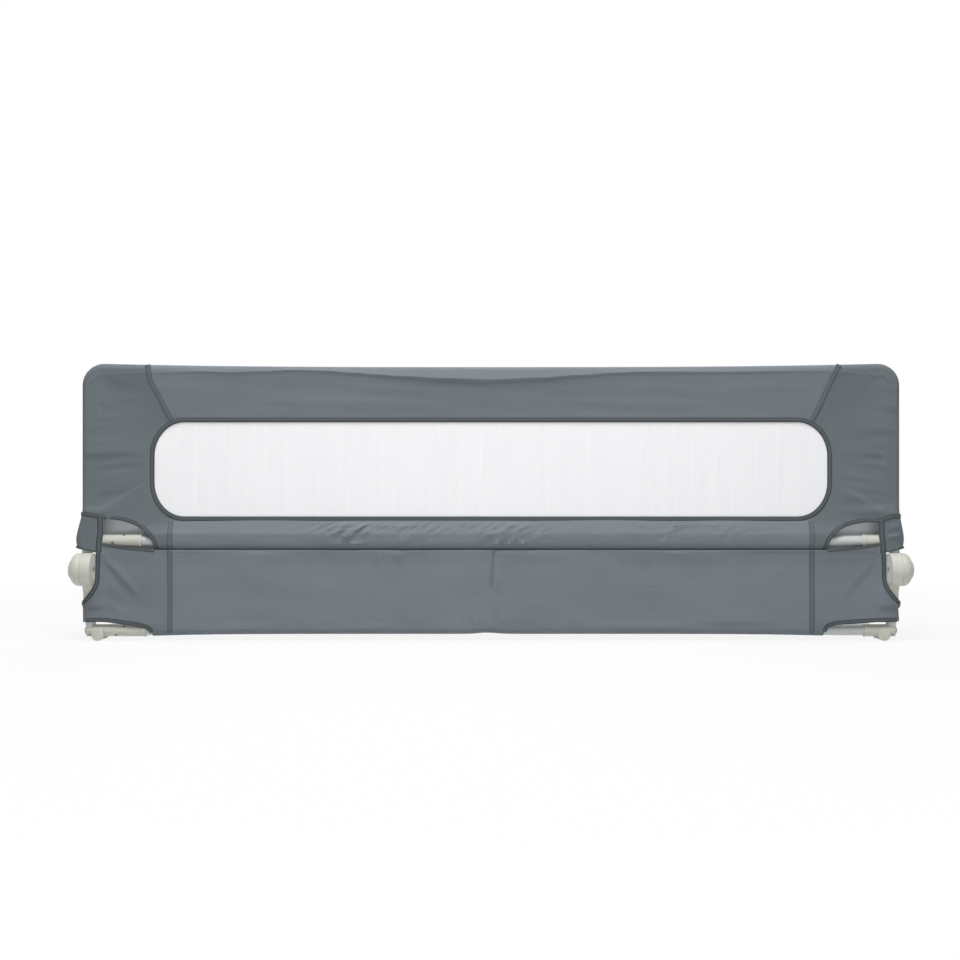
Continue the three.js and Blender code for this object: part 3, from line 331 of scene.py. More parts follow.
class Solid:
    """A moulded or turned piece while it is being made, in millimetres."""

    def __init__(self, first: BMesh) -> None:
        """Starts the piece from one body."""
        self.object = self._object(first)

    @staticmethod
    def _object(bm: BMesh) -> Object:
        """Puts a bmesh in a scratch object.

        Args:
            bm: the shape; it is freed.

        Returns:
            The object.
        """
        mesh = bpy.data.meshes.new("making")
        bm.to_mesh(mesh)
        bm.free()
        made = bpy.data.objects.new("making", mesh)
        bpy.context.scene.collection.objects.link(made)
        return made

    def _with(self, bm: BMesh, cut: Cut) -> None:
        """Joins another body to the piece, or cuts it out.

        Args:
            bm: the other body; it is freed.
            cut: what it does to the piece.
        """
        tool = self._object(bm)
        modifier = self.object.modifiers.new("cut", "BOOLEAN")
        modifier.operation = cut.value
        modifier.solver = "EXACT"
        modifier.object = tool
        graph = bpy.context.evaluated_depsgraph_get()
        mesh = bpy.data.meshes.new_from_object(self.object.evaluated_get(graph))
        self.object.modifiers.clear()
        bpy.data.objects.remove(tool)
        welded = bmesh.new()
        welded.from_mesh(mesh)
        self._weld(welded, 0.004)
        welded.to_mesh(mesh)
        welded.free()
        self.object.data = mesh

    @staticmethod
    def _weld(bm: BMesh, distance: float) -> None:
        """Welds the slivers that a cut leaves, and closes the cracks between them.

        Args:
            bm: the piece.
            distance: how near two corners count as one, in millimetres.
        """
        bmesh.ops.remove_doubles(bm, verts=bm.verts, dist=distance)
        bmesh.ops.dissolve_degenerate(bm, edges=bm.edges, dist=distance)
        bmesh.ops.delete(bm, geom=[e for e in bm.edges if not e.link_faces], context="EDGES")
        rim = [e for e in bm.edges if len(e.link_faces) == 1]
        if rim:
            bmesh.ops.holes_fill(bm, edges=rim, sides=0)

    def join(self, *bodies: BMesh) -> None:
        """Joins bodies to the piece."""
        for body in bodies:
            self._with(body, Cut.JOIN)

    def cut(self, *bodies: BMesh) -> None:
        """Cuts bodies out of the piece."""
        for body in bodies:
            self._with(body, Cut.CUT)

    def done(self, edge: float = 0.0) -> BMesh:
        """Ends the making.

        Args:
            edge: the width of the rounding on every sharp edge, or 0 for none.

        Returns:
            The piece as a bmesh.
        """
        bm = bmesh.new()
        bm.from_mesh(self.object.data)
        bpy.data.objects.remove(self.object)
        self._weld(bm, 0.01)
        bmesh.ops.dissolve_limit(
            bm, angle_limit=math.radians(0.5), verts=bm.verts, edges=bm.edges, use_dissolve_boundaries=False
        )
        if edge:
            limit = math.radians(SHARP_CORNER)
            sharp = [e for e in bm.edges if len(e.link_faces) == 2 and e.calc_face_angle(0) > limit]
            how = {"offset_type": "OFFSET", "affect": "EDGES", "segments": 2, "profile": 0.5, "material": -1}
            bmesh.ops.bevel(bm, geom=sharp, offset=edge, clamp_overlap=True, **how)
            self._weld(bm, 0.004)
        bmesh.ops.triangulate(bm, faces=[f for f in bm.faces if len(f.verts) > 4])
        return bm


def finish(
    name: str,
    bm: BMesh,
    body: Body,
    look: "Finish",
    replaced: Iterable[str] = (),
    sharp: float = 34.0,
    ride: bool = True,
) -> Object:
    """Makes a piece's object in the row's frame, dresses it and lets it ride.

    Args:
        name: the piece's name.
        bm: its shape in millimetres; it is freed.
        body: the body that it moves with.
        look: its finish.
        replaced: the nodes that it stands for.
        sharp: the angle in degrees over which an edge stays sharp.
        ride: False for cloth that bends between two bodies.

    Returns:
        The object.
    """
    open_edges = sum(1 for edge in bm.edges if len(edge.link_faces) != 2)
    bmesh.ops.translate(bm, vec=(0, TUBE_PLANE_Y, 0), verts=bm.verts)
    bmesh.ops.scale(bm, vec=(METRE, METRE, METRE), verts=bm.verts)
    mesh = bpy.data.meshes.new(name)
    bm.to_mesh(mesh)
    bm.free()
    mesh.polygons.foreach_set("use_smooth", [True] * len(mesh.polygons))
    mesh.set_sharp_from_angle(angle=math.radians(sharp))
    piece = bpy.data.objects.new(name, mesh)
    bpy.context.scene.collection.objects.link(piece)
    mesh.materials.append(look.material())
    if replaced:
        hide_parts(*replaced)
    if ride:
        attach(piece, body.value)
    log.info("%s: %d faces, %d edges open", name, len(mesh.polygons), open_edges)
    return piece


def mirrored(bm: BMesh) -> BMesh:
    """Turns a right-hand piece into the left-hand one.

    Args:
        bm: the piece, which is changed in place.

    Returns:
        The same bmesh.
    """
    bmesh.ops.scale(bm, vec=(-1, 1, 1), verts=bm.verts)
    bmesh.ops.reverse_faces(bm, faces=bm.faces)
    return bm


def for_end(side: Side, bm: BMesh) -> BMesh:
    """A piece that was made for the right end, as either end has it."""
    return mirrored(bm) if side is Side.LEFT else bm


# Finishes


def linear(code: str) -> tuple[float, float, float, float]:
    """The linear colour of an sRGB hex value."""
    values = [int(code[i : i + 2], 16) / 255 for i in (1, 3, 5)]
    return (*(v / 12.92 if v <= 0.04045 else ((v + 0.055) / 1.055) ** 2.4 for v in values), 1.0)


def plug(tree: NodeTree, node: Node, links: dict) -> None:
    """Gives a node its inputs.

    Args:
        tree: the material's nodes.
        node: the node.
        links: socket name or number to a value, to another node's output, or to a node for its first output.
    """
    for key, value in links.items():
        socket = node.inputs[key]
        if isinstance(value, Node):
            value = value.outputs[0]
        if isinstance(value, NodeSocket):
            tree.links.new(value, socket)
        else:
            socket.default_value = value


def add_node(tree: NodeTree, kind: str, links: dict | None = None, **settings: object) -> Node:
    """Adds one node with its settings and links.

    Args:
        tree: the material's tree.
        kind: the node's type name without its common start.
        links: what its inputs take, as plug() has it.
        settings: attributes of the node.

    Returns:
        The node.
    """
    node = tree.nodes.new(f"ShaderNode{kind}")
    for key, value in settings.items():
        setattr(node, key, value)
    plug(tree, node, links or {})
    return node


@dataclass(frozen=True)
class Finish:
    """A finish: its colour and gloss, and the pattern that each kind adds."""

    name: str
    slot: str
    colour: str
    darker: str
    roughness: float
    ior: float = 1.5

    def material(self) -> Material:
        """The material, made once and then shared.

        Returns:
            The material.
        """
        found = bpy.data.materials.get(self.name)
        if found:
            return found
        material = bpy.data.materials.new(self.name)
        material.use_nodes = True
        tree = material.node_tree
        shader = tree.nodes["Principled BSDF"]
        plug(tree, shader, {"Base Color": linear(self.colour), "Roughness": self.roughness, "IOR": self.ior})
        self.pattern(tree, shader)
        return material

    def pattern(self, tree: NodeTree, shader: Node) -> None:
        """Adds what makes this finish itself; a plain one adds nothing."""

    def two_tone(self, tree: NodeTree, shader: Node, share: NodeSocket) -> NodeSocket:
        """Mixes the colour with the darker one and gives it to the shader.

        Args:
            tree: the material's nodes.
            shader: its main shader.
            share: the darker colour's share.

        Returns:
            The mixed colour.
        """
        return self.blended(tree, shader, share, linear(self.colour), self.darker)

    @staticmethod
    def blended(
        tree: NodeTree, shader: Node, share: NodeSocket, under: object, over: str
    ) -> NodeSocket:
        """Lays one colour over another and gives the result to the shader.

        Args:
            tree: the material's nodes.
            shader: its main shader.
            share: how much of the upper one shows.
            under: the lower one, as a linear colour or a node's output.
            over: the upper one's hex value.

        Returns:
            The resulting colour.
        """
        both = add_node(tree, "Mix", {0: share, 6: under, 7: linear(over)}, data_type="RGBA")
        plug(tree, shader, {"Base Color": both.outputs[2]})
        return both.outputs[2]

    @staticmethod
    def place(tree: NodeTree) -> NodeSocket:
        """The object's own coordinates, in metres."""
        return add_node(tree, "TexCoord").outputs["Object"]

    @staticmethod
    def waves(
        tree: NodeTree, at: NodeSocket, pitch: float, along: str, wander: float = 0.0
    ) -> NodeSocket:
        """Even stripes from 0 to 1.

        Args:
            tree: the material's nodes.
            at: the place, in metres.
            pitch: the distance from one stripe to the next, in millimetres.
            along: the axis that they follow each other on.
            wander: how much they stray.

        Returns:
            The stripes' strength.
        """
        scale = math.pi * 100 / pitch
        links = {"Vector": at, "Scale": scale, "Distortion": wander, "Detail": 1.0, "Detail Scale": 0.01}
        return add_node(tree, "TexWave", links, bands_direction=along).outputs["Fac"]

    @staticmethod
    def raise_surface(
        tree: NodeTree, shader: Node, height: NodeSocket, depth: float, strength: float
    ) -> None:
        """Gives the shader a bump of a depth in metres."""
        bumped = add_node(tree, "Bump", {"Height": height, "Distance": depth, "Strength": strength})
        plug(tree, shader, {"Normal": bumped.outputs["Normal"]})


@dataclass(frozen=True)
class PowderCoat(Finish):
    """Powder-coated steel tube: an even pale coat with a fine orange-peel skin and a soft gloss."""

    grain: float = 0.9

    def pattern(self, tree: NodeTree, shader: Node) -> None:
        """Adds the orange peel, a millimetre across, and a faint unevenness of the coat.

        Args:
            tree: the material's nodes.
            shader: its main shader.
        """
        place = self.place(tree)
        peel = add_node(tree, "TexNoise", {"Vector": place, "Scale": 1000 / self.grain, "Detail": 2.0})
        cloud = add_node(tree, "TexNoise", {"Vector": place, "Scale": 9.0, "Detail": 3.0})
        self.two_tone(tree, shader, cloud.outputs["Fac"])
        self.raise_surface(tree, shader, peel.outputs["Fac"], 0.00008, 0.35)
        plug(tree, shader, {"Coat Weight": 0.15, "Coat Roughness": 0.25})


@dataclass(frozen=True)
class MouldedPlastic(Finish):
    """Injection-moulded plastic: a fine spark-eroded skin, paler where edges are rubbed."""

    grain: float = 0.5
    depth: float = 0.00005

    def pattern(self, tree: NodeTree, shader: Node) -> None:
        """Adds the mould's grain, flow clouds and rubbed edges.

        Args:
            tree: the material's nodes.
            shader: its main shader.
        """
        place = self.place(tree)
        skin = add_node(tree, "TexNoise", {"Vector": place, "Scale": 1000 / self.grain, "Detail": 3.0})
        cloud = add_node(tree, "TexNoise", {"Vector": place, "Scale": 26.0, "Detail": 4.0, "Roughness": 0.6})
        both = self.two_tone(tree, shader, cloud.outputs["Fac"])
        worn = add_node(tree, "NewGeometry")
        edge = add_node(tree, "ValToRGB", {0: worn.outputs["Pointiness"]})
        edge.color_ramp.elements[0].position = 0.51
        edge.color_ramp.elements[1].position = 0.6
        self.blended(tree, shader, edge.outputs["Color"], both, "#d3d4cc")
        self.raise_surface(tree, shader, skin.outputs["Fac"], self.depth, 0.4)
        plug(tree, shader, {"Subsurface Weight": 0.04, "Subsurface Radius": (0.002, 0.002, 0.0018)})


@dataclass(frozen=True)
class PlainMetal(Finish):
    """Zinc-plated or bare steel: turned parts with faint tool rings and a dull shine."""

    def pattern(self, tree: NodeTree, shader: Node) -> None:
        """Adds the plating's clouds to colour and gloss.

        Args:
            tree: the material's nodes.
            shader: its main shader.
        """
        plug(tree, shader, {"Metallic": 1.0})
        cloud = add_node(tree, "TexNoise", {"Vector": self.place(tree), "Scale": 700.0, "Detail": 3.0})
        self.two_tone(tree, shader, cloud.outputs["Fac"])
        gloss = add_node(
            tree,
            "MapRange",
            {"Value": cloud, "To Min": self.roughness - 0.08, "To Max": self.roughness + 0.1},
        )
        plug(tree, shader, {"Roughness": gloss.outputs["Result"]})


@dataclass(frozen=True)
class WovenCloth(Finish):
    """Woven polyester: a plain weave with a dull sheen, a little slubby, dyed grey, with a paler back that is
    partly a coating and partly painted light for light that comes through the thin cloth.

    The real threads are about 0.35 mm apart; they are drawn 0.9 mm apart so that a close view shows them. The
    end panels are drawn a little darker, a painted shade where the light falls off towards the ends.
    """

    thread: float = 0.9
    weave_depth: float = 0.00012
    # a darker colour that paints the shade of the end panels
    painted_end_shade_colour: str = "#6d7579"
    # the back's pale colour: partly a coating, partly painted light that comes through the thin cloth
    coat_and_painted_backlight: str = "#cdd1d5"

    def pattern(self, tree: NodeTree, shader: Node) -> None:
        """Adds warp and weft, slubs and slow changes of the dye.

        Args:
            tree: the material's nodes.
            shader: its main shader.
        """
        place = self.place(tree)
        warp = self.waves(tree, place, self.thread, "X", 0.4)
        weft = self.waves(tree, place, self.thread, "Z", 0.4)
        woven = add_node(tree, "Math", {0: warp, 1: weft}, operation="MULTIPLY")
        long_threads = add_node(tree, "Mapping", {"Vector": place, "Scale": (18, 18, 420)})
        slub = add_node(
            tree, "TexNoise", {"Vector": long_threads, "Scale": 1.0, "Detail": 4.0}
        )
        cloud = add_node(tree, "TexNoise", {"Vector": place, "Scale": 5.0, "Detail": 2.0})
        tone = add_node(tree, "Math", {0: slub, 1: cloud}, operation="MULTIPLY")
        lifted = add_node(tree, "Math", {0: tone, 1: 1.6}, operation="MULTIPLY", use_clamp=True)
        dyed = self.two_tone(tree, shader, lifted.outputs[0])
        # painted shade: the end panels take a darker colour, as where the light falls off towards the ends
        ends = add_node(tree, "Attribute", attribute_name="end_panel")
        cut = self.blended(tree, shader, ends.outputs["Fac"], dyed, self.painted_end_shade_colour)
        # the pale back is partly a coating and partly painted light that stands in for light through the thin
        # cloth
        back = add_node(tree, "Attribute", attribute_name="reverse")
        self.blended(tree, shader, back.outputs["Fac"], cut, self.coat_and_painted_backlight)
        self.raise_surface(tree, shader, woven.outputs[0], self.weave_depth, 0.5)
        plug(tree, shader, {"Sheen Weight": 0.03, "Sheen Roughness": 0.5, "Specular IOR Level": 0.12})
        plug(tree, shader, {"Subsurface Weight": 0.3, "Subsurface Radius": (1.0, 1.0, 1.0)})
        plug(tree, shader, {"Subsurface Scale": 0.004})


@dataclass(frozen=True)
class StitchedTape(Finish):
    """Folded binding tape: ribbed across, with a row of lockstitch near each edge, and darker along both
    edges as a painted shade of its folded edges.

    Its UV map runs in metres along the tape and from -1 to 1 across it.
    """

    rib: float = 1.1
    stitch: float = 3.2

    def pattern(self, tree: NodeTree, shader: Node) -> None:
        """Adds ribs, painted shade along both edges, and stitches.

        Args:
            tree: the material's nodes.
            shader: its main shader.
        """
        uv = add_node(tree, "TexCoord").outputs["UV"]
        parts = add_node(tree, "SeparateXYZ", {0: uv})
        ribs = self.waves(tree, uv, self.rib, "X")
        across = add_node(tree, "Math", {0: parts.outputs["Y"]}, operation="ABSOLUTE")
        # painted shade: the darker colour grows towards both edges of the tape
        edge = add_node(tree, "MapRange", {"Value": across, "From Min": 0.4, "From Max": 0.75})
        pitch = add_node(tree, "Math", {0: parts.outputs["X"], 1: 1000 / self.stitch}, operation="MULTIPLY")
        turn = add_node(tree, "Math", {0: pitch}, operation="FRACT")
        dash = add_node(tree, "Math", {0: turn, 1: 0.68}, operation="LESS_THAN")
        near = add_node(
            tree, "Math", {0: across, 1: 0.66, 2: 0.07}, operation="COMPARE"
        )
        thread = add_node(tree, "Math", {0: dash, 1: near}, operation="MULTIPLY")
        shade = add_node(
            tree, "Math", {0: ribs, 1: 0.15, 2: edge}, operation="MULTIPLY_ADD"
        )
        lit = add_node(
            tree, "Math", {0: thread, 1: -0.3, 2: shade}, operation="MULTIPLY_ADD", use_clamp=True
        )
        self.two_tone(tree, shader, lit.outputs[0])
        height = add_node(tree, "Math", {0: ribs, 1: thread}, operation="ADD")
        self.raise_surface(tree, shader, height.outputs[0], 0.0002, 0.4)
        plug(tree, shader, {"Sheen Weight": 0.08})


@dataclass(frozen=True)
class WarpNet(Finish):
    """Warp-knitted net: white yarn round rows of small holes, so fine that it reads as near white.

    The holes are 0.9 mm apart.
    """

    hole: float = 0.9

    def pattern(self, tree: NodeTree, shader: Node) -> None:
        """Adds the rows of holes to colour, bump and see-through.

        Args:
            tree: the material's nodes.
            shader: its main shader.
        """
        place = self.place(tree)
        across, up = self.waves(tree, place, self.hole, "X"), self.waves(tree, place, self.hole, "Z")
        hole = add_node(tree, "Math", {0: across, 1: up}, operation="MULTIPLY")
        streak_at = add_node(tree, "Mapping", {"Vector": place, "Scale": (160, 160, 5)})
        streak = add_node(tree, "TexNoise", {"Vector": streak_at, "Scale": 1.0, "Detail": 3.0})
        tone = add_node(
            tree, "Math", {0: hole, 1: 0.35, 2: streak}, operation="MULTIPLY_ADD"
        )
        self.two_tone(tree, shader, tone.outputs[0])
        open_share = add_node(
            tree,
            "MapRange",
            {"Value": hole, "From Min": 0.4, "From Max": 0.8, "To Min": 1.0, "To Max": 0.86},
        )
        plug(tree, shader, {"Alpha": open_share.outputs["Result"]})
        self.raise_surface(tree, shader, hole.outputs[0], -0.0001, 0.1)


TUBE_COAT = PowderCoat("powder_coated_tube", "painted_tube", "#c8cccb", "#bcc1c1", 0.38)
HUB_PLASTIC = MouldedPlastic("moulded_polypropylene", "fitting_plastic", "#c9cabf", "#bcbdb1", 0.46)
SCREW_ZINC = PlainMetal("zinc_plated_screw", "screw_steel", "#8d8f90", "#6c6e70", 0.4)
SPRING_WIRE = PlainMetal("bare_spring_wire", "spring_steel", "#a9abac", "#8b8d8f", 0.3)
CAP_RUBBER = MouldedPlastic("moulded_pvc_cap", "cap_rubber", "#8f908c", "#858682", 0.72)
COG_PLASTIC = MouldedPlastic("moulded_acetal_cog", "cog_plastic", "#3d3f40", "#333536", 0.4)
COVER_CLOTH = WovenCloth("woven_polyester_cloth", "cover_cloth", "#7c8389", "#72797f", 0.78)
# the seam's dark colour is painted shade, for the valley along each seam
SEAM_SHADE_TAPE = StitchedTape("felled_seam_painted_shade", "cover_cloth", "#5c6469", "#50585d", 0.8)
# the darker colour of the binding is painted shade along its edges
EDGE_TAPE = StitchedTape("folded_binding_tape", "binding_tape", "#4f565b", "#2f3539", 0.8)
WINDOW_NET = WarpNet("warp_knitted_net", "window_net", "#fcfcfd", "#f2f2f4", 0.85)


# Sizes that the cloth, the tubes and the fittings share


@dataclass(frozen=True)
class Layout:
    """The guard's main places, as the solids have them."""

    clearance: float = 0.3
    cloth: float = 1.2
    tube: float = 9.5
    bore: float = 8.3
    sleeve_bore: float = 9.8
    sleeve: float = 11.1
    socket: float = 13.5
    lip: float = 0.8
    width: float = 1500.0
    height: float = 508.0
    side_post_x: float = 739.0
    lower_post_x: float = 735.5
    leg_x: float = 720.5
    leg_z: float = 11.1
    bottom_rail_z: float = 18.5
    middle_rail_z: float = 183.0
    rail_bow: float = 4.0
    middle_barrel_end: float = 716.0
    bottom_barrel_end: float = 708.5
    pivot_z: float = 131.0
    pivot_y: float = -16.0
    hub: float = 30.0
    crease_z: float = 166.5

    def rail_rise(self, x: float) -> float:
        """How far the taut cover draws the bottom rail up at a place."""
        share = min(abs(x) / (self.bottom_barrel_end - 75), 1)
        return self.rail_bow * (1 - share**6) + 2.2 * bump(x, -8, 26)


AT = Layout()
HUB_AXIS = (0, AT.pivot_y, AT.pivot_z)
FORWARD = Vector((0, -1, 0))


# Cloth tools


@dataclass
class Sheet:
    """Cloth while it is being cut: a skin of one thickness of faces, with helpers to trim it."""

    bm: BMesh = field(default_factory=bmesh.new)

    def weave(self, rows: Sequence[Sequence[Vector]], closed: bool = False) -> None:
        """Lays a skin through rows of points.

        Args:
            rows: rows with the same number of points.
            closed: whether the last row joins the first.
        """
        grid = [[self.bm.verts.new(p) for p in row] for row in rows]
        pairs = list(zip(grid, grid[1:])) + ([(grid[-1], grid[0])] if closed else [])
        for lower, upper in pairs:
            for a, b, c, d in zip(lower, lower[1:], upper[1:], upper):
                self.bm.faces.new((a, b, c, d))

    def trim(
        self, outline: Sequence[Point2], keep_behind: Callable[[Vector], bool] | None = None
    ) -> None:
        """Cuts away what lies within an outline, seen from the front.

        Args:
            outline: (x, z) corners, in order round.
            keep_behind: tells of a face's middle whether the cut passes it by.
        """
        bm = self.bm
        for (x0, z0), (x1, z1) in zip(outline, [*outline[1:], outline[0]]):
            low_x, high_x = min(x0, x1) - 6, max(x0, x1) + 6
            low_z, high_z = min(z0, z1) - 6, max(z0, z1) + 6
            faces = []
            for face in bm.faces:
                c = face.calc_center_median()
                if low_x <= c.x <= high_x and low_z <= c.z <= high_z:
                    if keep_behind is None or not keep_behind(c):
                        faces.append(face)
            if not faces:
                continue
            normal = Vector((z1 - z0, 0, x0 - x1))
            if normal.length < 1e-6:
                continue
            parts = {v for f in faces for v in f.verts} | {e for f in faces for e in f.edges}
            bmesh.ops.bisect_plane(
                bm, geom=faces + list(parts), dist=1e-4, plane_co=(x0, 0, z0), plane_no=normal.normalized()
            )
        gone = []
        for face in bm.faces:
            c = face.calc_center_median()
            if within(outline, c.x, c.z) and (keep_behind is None or not keep_behind(c)):
                gone.append(face)
        bmesh.ops.delete(bm, geom=gone, context="FACES")

    def thicken(self, thickness: float, end_shade: float, back_shade: float) -> BMesh:
        """Gives the skin its thickness, inward of its faces.

        Args:
            thickness: the cloth's thickness.
            end_shade: how far the end panels take the darker colour that paints their shade, from 0 to 1.
            back_shade: how far the back of the cloth takes its pale colour, which is partly a coating and
                partly painted light.

        Returns:
            The closed cloth.
        """
        bm = self.bm
        bmesh.ops.remove_doubles(bm, verts=bm.verts, dist=0.02)
        bmesh.ops.dissolve_degenerate(bm, edges=bm.edges, dist=0.02)
        bmesh.ops.recalc_face_normals(bm, faces=bm.faces)
        foremost = min(bm.faces, key=lambda f: f.calc_center_median().y)
        if foremost.normal.y > 0:
            bmesh.ops.reverse_faces(bm, faces=bm.faces)
        reverse = bm.faces.layers.float.new("reverse")
        panel = bm.faces.layers.float.new("end_panel")
        outside = set(bm.faces)
        bmesh.ops.solidify(bm, geom=list(bm.faces), thickness=thickness)
        for face in bm.faces:
            c = face.calc_center_median()
            face[reverse] = 0.0 if face in outside else back_shade
            # faces beyond the seams take the painted end shade
            face[panel] = end_shade if abs(c.x) > seam_x(c.z, Side.of(c.x)) else 0.0
        bmesh.ops.recalc_face_normals(bm, faces=bm.faces)
        return bm


SEAMS: dict[Side, tuple[Point2, ...]] = {
    Side.LEFT: ((409.8, 590.0), (447.4, 608.0), (475.5, 623.7), (508.0, 628.5)),
    Side.RIGHT: ((404.0, 590.0), (508.0, 638.0)),
}


def seam_x(z: float, side: Side) -> float:
    """How far out the seam between the middle and the end panel lies at a height.

    Args:
        z: the height.
        side: the end of the guard.

    Returns:
        Its distance from mid width.
    """
    line = SEAMS[side]
    if z < line[0][0]:
        return SEAM_FOOT_X
    for (z0, x0), (z1, x1) in zip(line, line[1:]):
        if z <= z1:
            return mix(x0, x1, (z - z0) / (z1 - z0))
    return line[-1][1]


def within(outline: Sequence[Point2], x: float, z: float) -> bool:
    """Whether a place lies within an outline.

    Args:
        outline: (x, z) corners, in order round.
        x: the place along the guard.
        z: the height.

    Returns:
        True where it does.
    """
    inside = False
    for (x0, z0), (x1, z1) in zip(outline, [*outline[1:], outline[0]]):
        if (z0 > z) != (z1 > z) and x < x0 + (z - z0) * (x1 - x0) / (z1 - z0):
            inside = not inside
    return inside


def tape(
    path: Sequence[Vector], normals: Sequence[Vector], width: float, thickness: float, loop: bool = False
) -> BMesh:
    """Lays a flat tape with soft edges along a path.

    Args:
        path: the middle of the tape.
        normals: the way its face looks at each point.
        width: its width.
        thickness: its thickness.
        loop: whether it joins its own start.

    Returns:
        The tape, with a UV map that runs in metres along it and from -1 to 1 across it.
    """
    bm = bmesh.new()
    uv = bm.loops.layers.uv.new("UVMap")
    shape = []
    count = 14
    for i in range(count):
        angle = 2 * math.pi * i / count
        c, s = math.cos(angle), math.sin(angle)
        across = math.copysign(abs(c) ** 0.55, c) * width / 2
        shape.append((across, math.copysign(abs(s) ** 0.8, s) * thickness / 2))
    rings, lengths, travelled = [], [], 0.0
    size = len(path)
    for i, (point, normal) in enumerate(zip(path, normals)):
        before = path[i - 1] if loop or i else path[i]
        after = path[(i + 1) % size] if loop or i < size - 1 else path[i]
        forward = (after - before).normalized()
        side = forward.cross(normal).normalized()
        up = side.cross(forward).normalized()
        rings.append([bm.verts.new(point + side * a + up * b) for a, b in shape])
        if i:
            travelled += (path[i] - path[i - 1]).length
        lengths.append(travelled)
    pairs = list(zip(range(size), range(1, size))) + ([(size - 1, 0)] if loop else [])
    for i, j in pairs:
        for k in range(count):
            m = (k + 1) % count
            face = bm.faces.new((rings[i][k], rings[i][m], rings[j][m], rings[j][k]))
            end = lengths[j] if j else travelled + (path[0] - path[-1]).length
            values = [(lengths[i], k), (lengths[i], m), (end, m), (end, k)]
            for corner, (along, at) in zip(face.loops, values):
                corner[uv].uv = (along * METRE, shape[at][0] / (width / 2))
    if not loop:
        for ring in (rings[0], rings[-1]):
            bm.faces.new(ring)
    bmesh.ops.recalc_face_normals(bm, faces=bm.faces)
    return bm


def quarter(centre: Point2, rx: float, rz: float, start: float, end: float, steps: int) -> list[Point2]:
    """Points on an ellipse's arc, by angles in degrees from +X towards +Z.

    Args:
        centre: the ellipse's middle.
        rx: its half width.
        rz: its half height.
        start: the first angle.
        end: the last angle.
        steps: the number of steps.

    Returns:
        (x, z) points.
    """
    points = []
    for i in range(steps + 1):
        angle = math.radians(mix(start, end, i / steps))
        points.append((centre[0] + rx * math.cos(angle), centre[1] + rz * math.sin(angle)))
    return points


def flipped(outline: Sequence[Point2]) -> list[Point2]:
    """The outline at the other end of the guard."""
    return [(-x, z) for x, z in reversed(outline)]


# Cover, window and seams


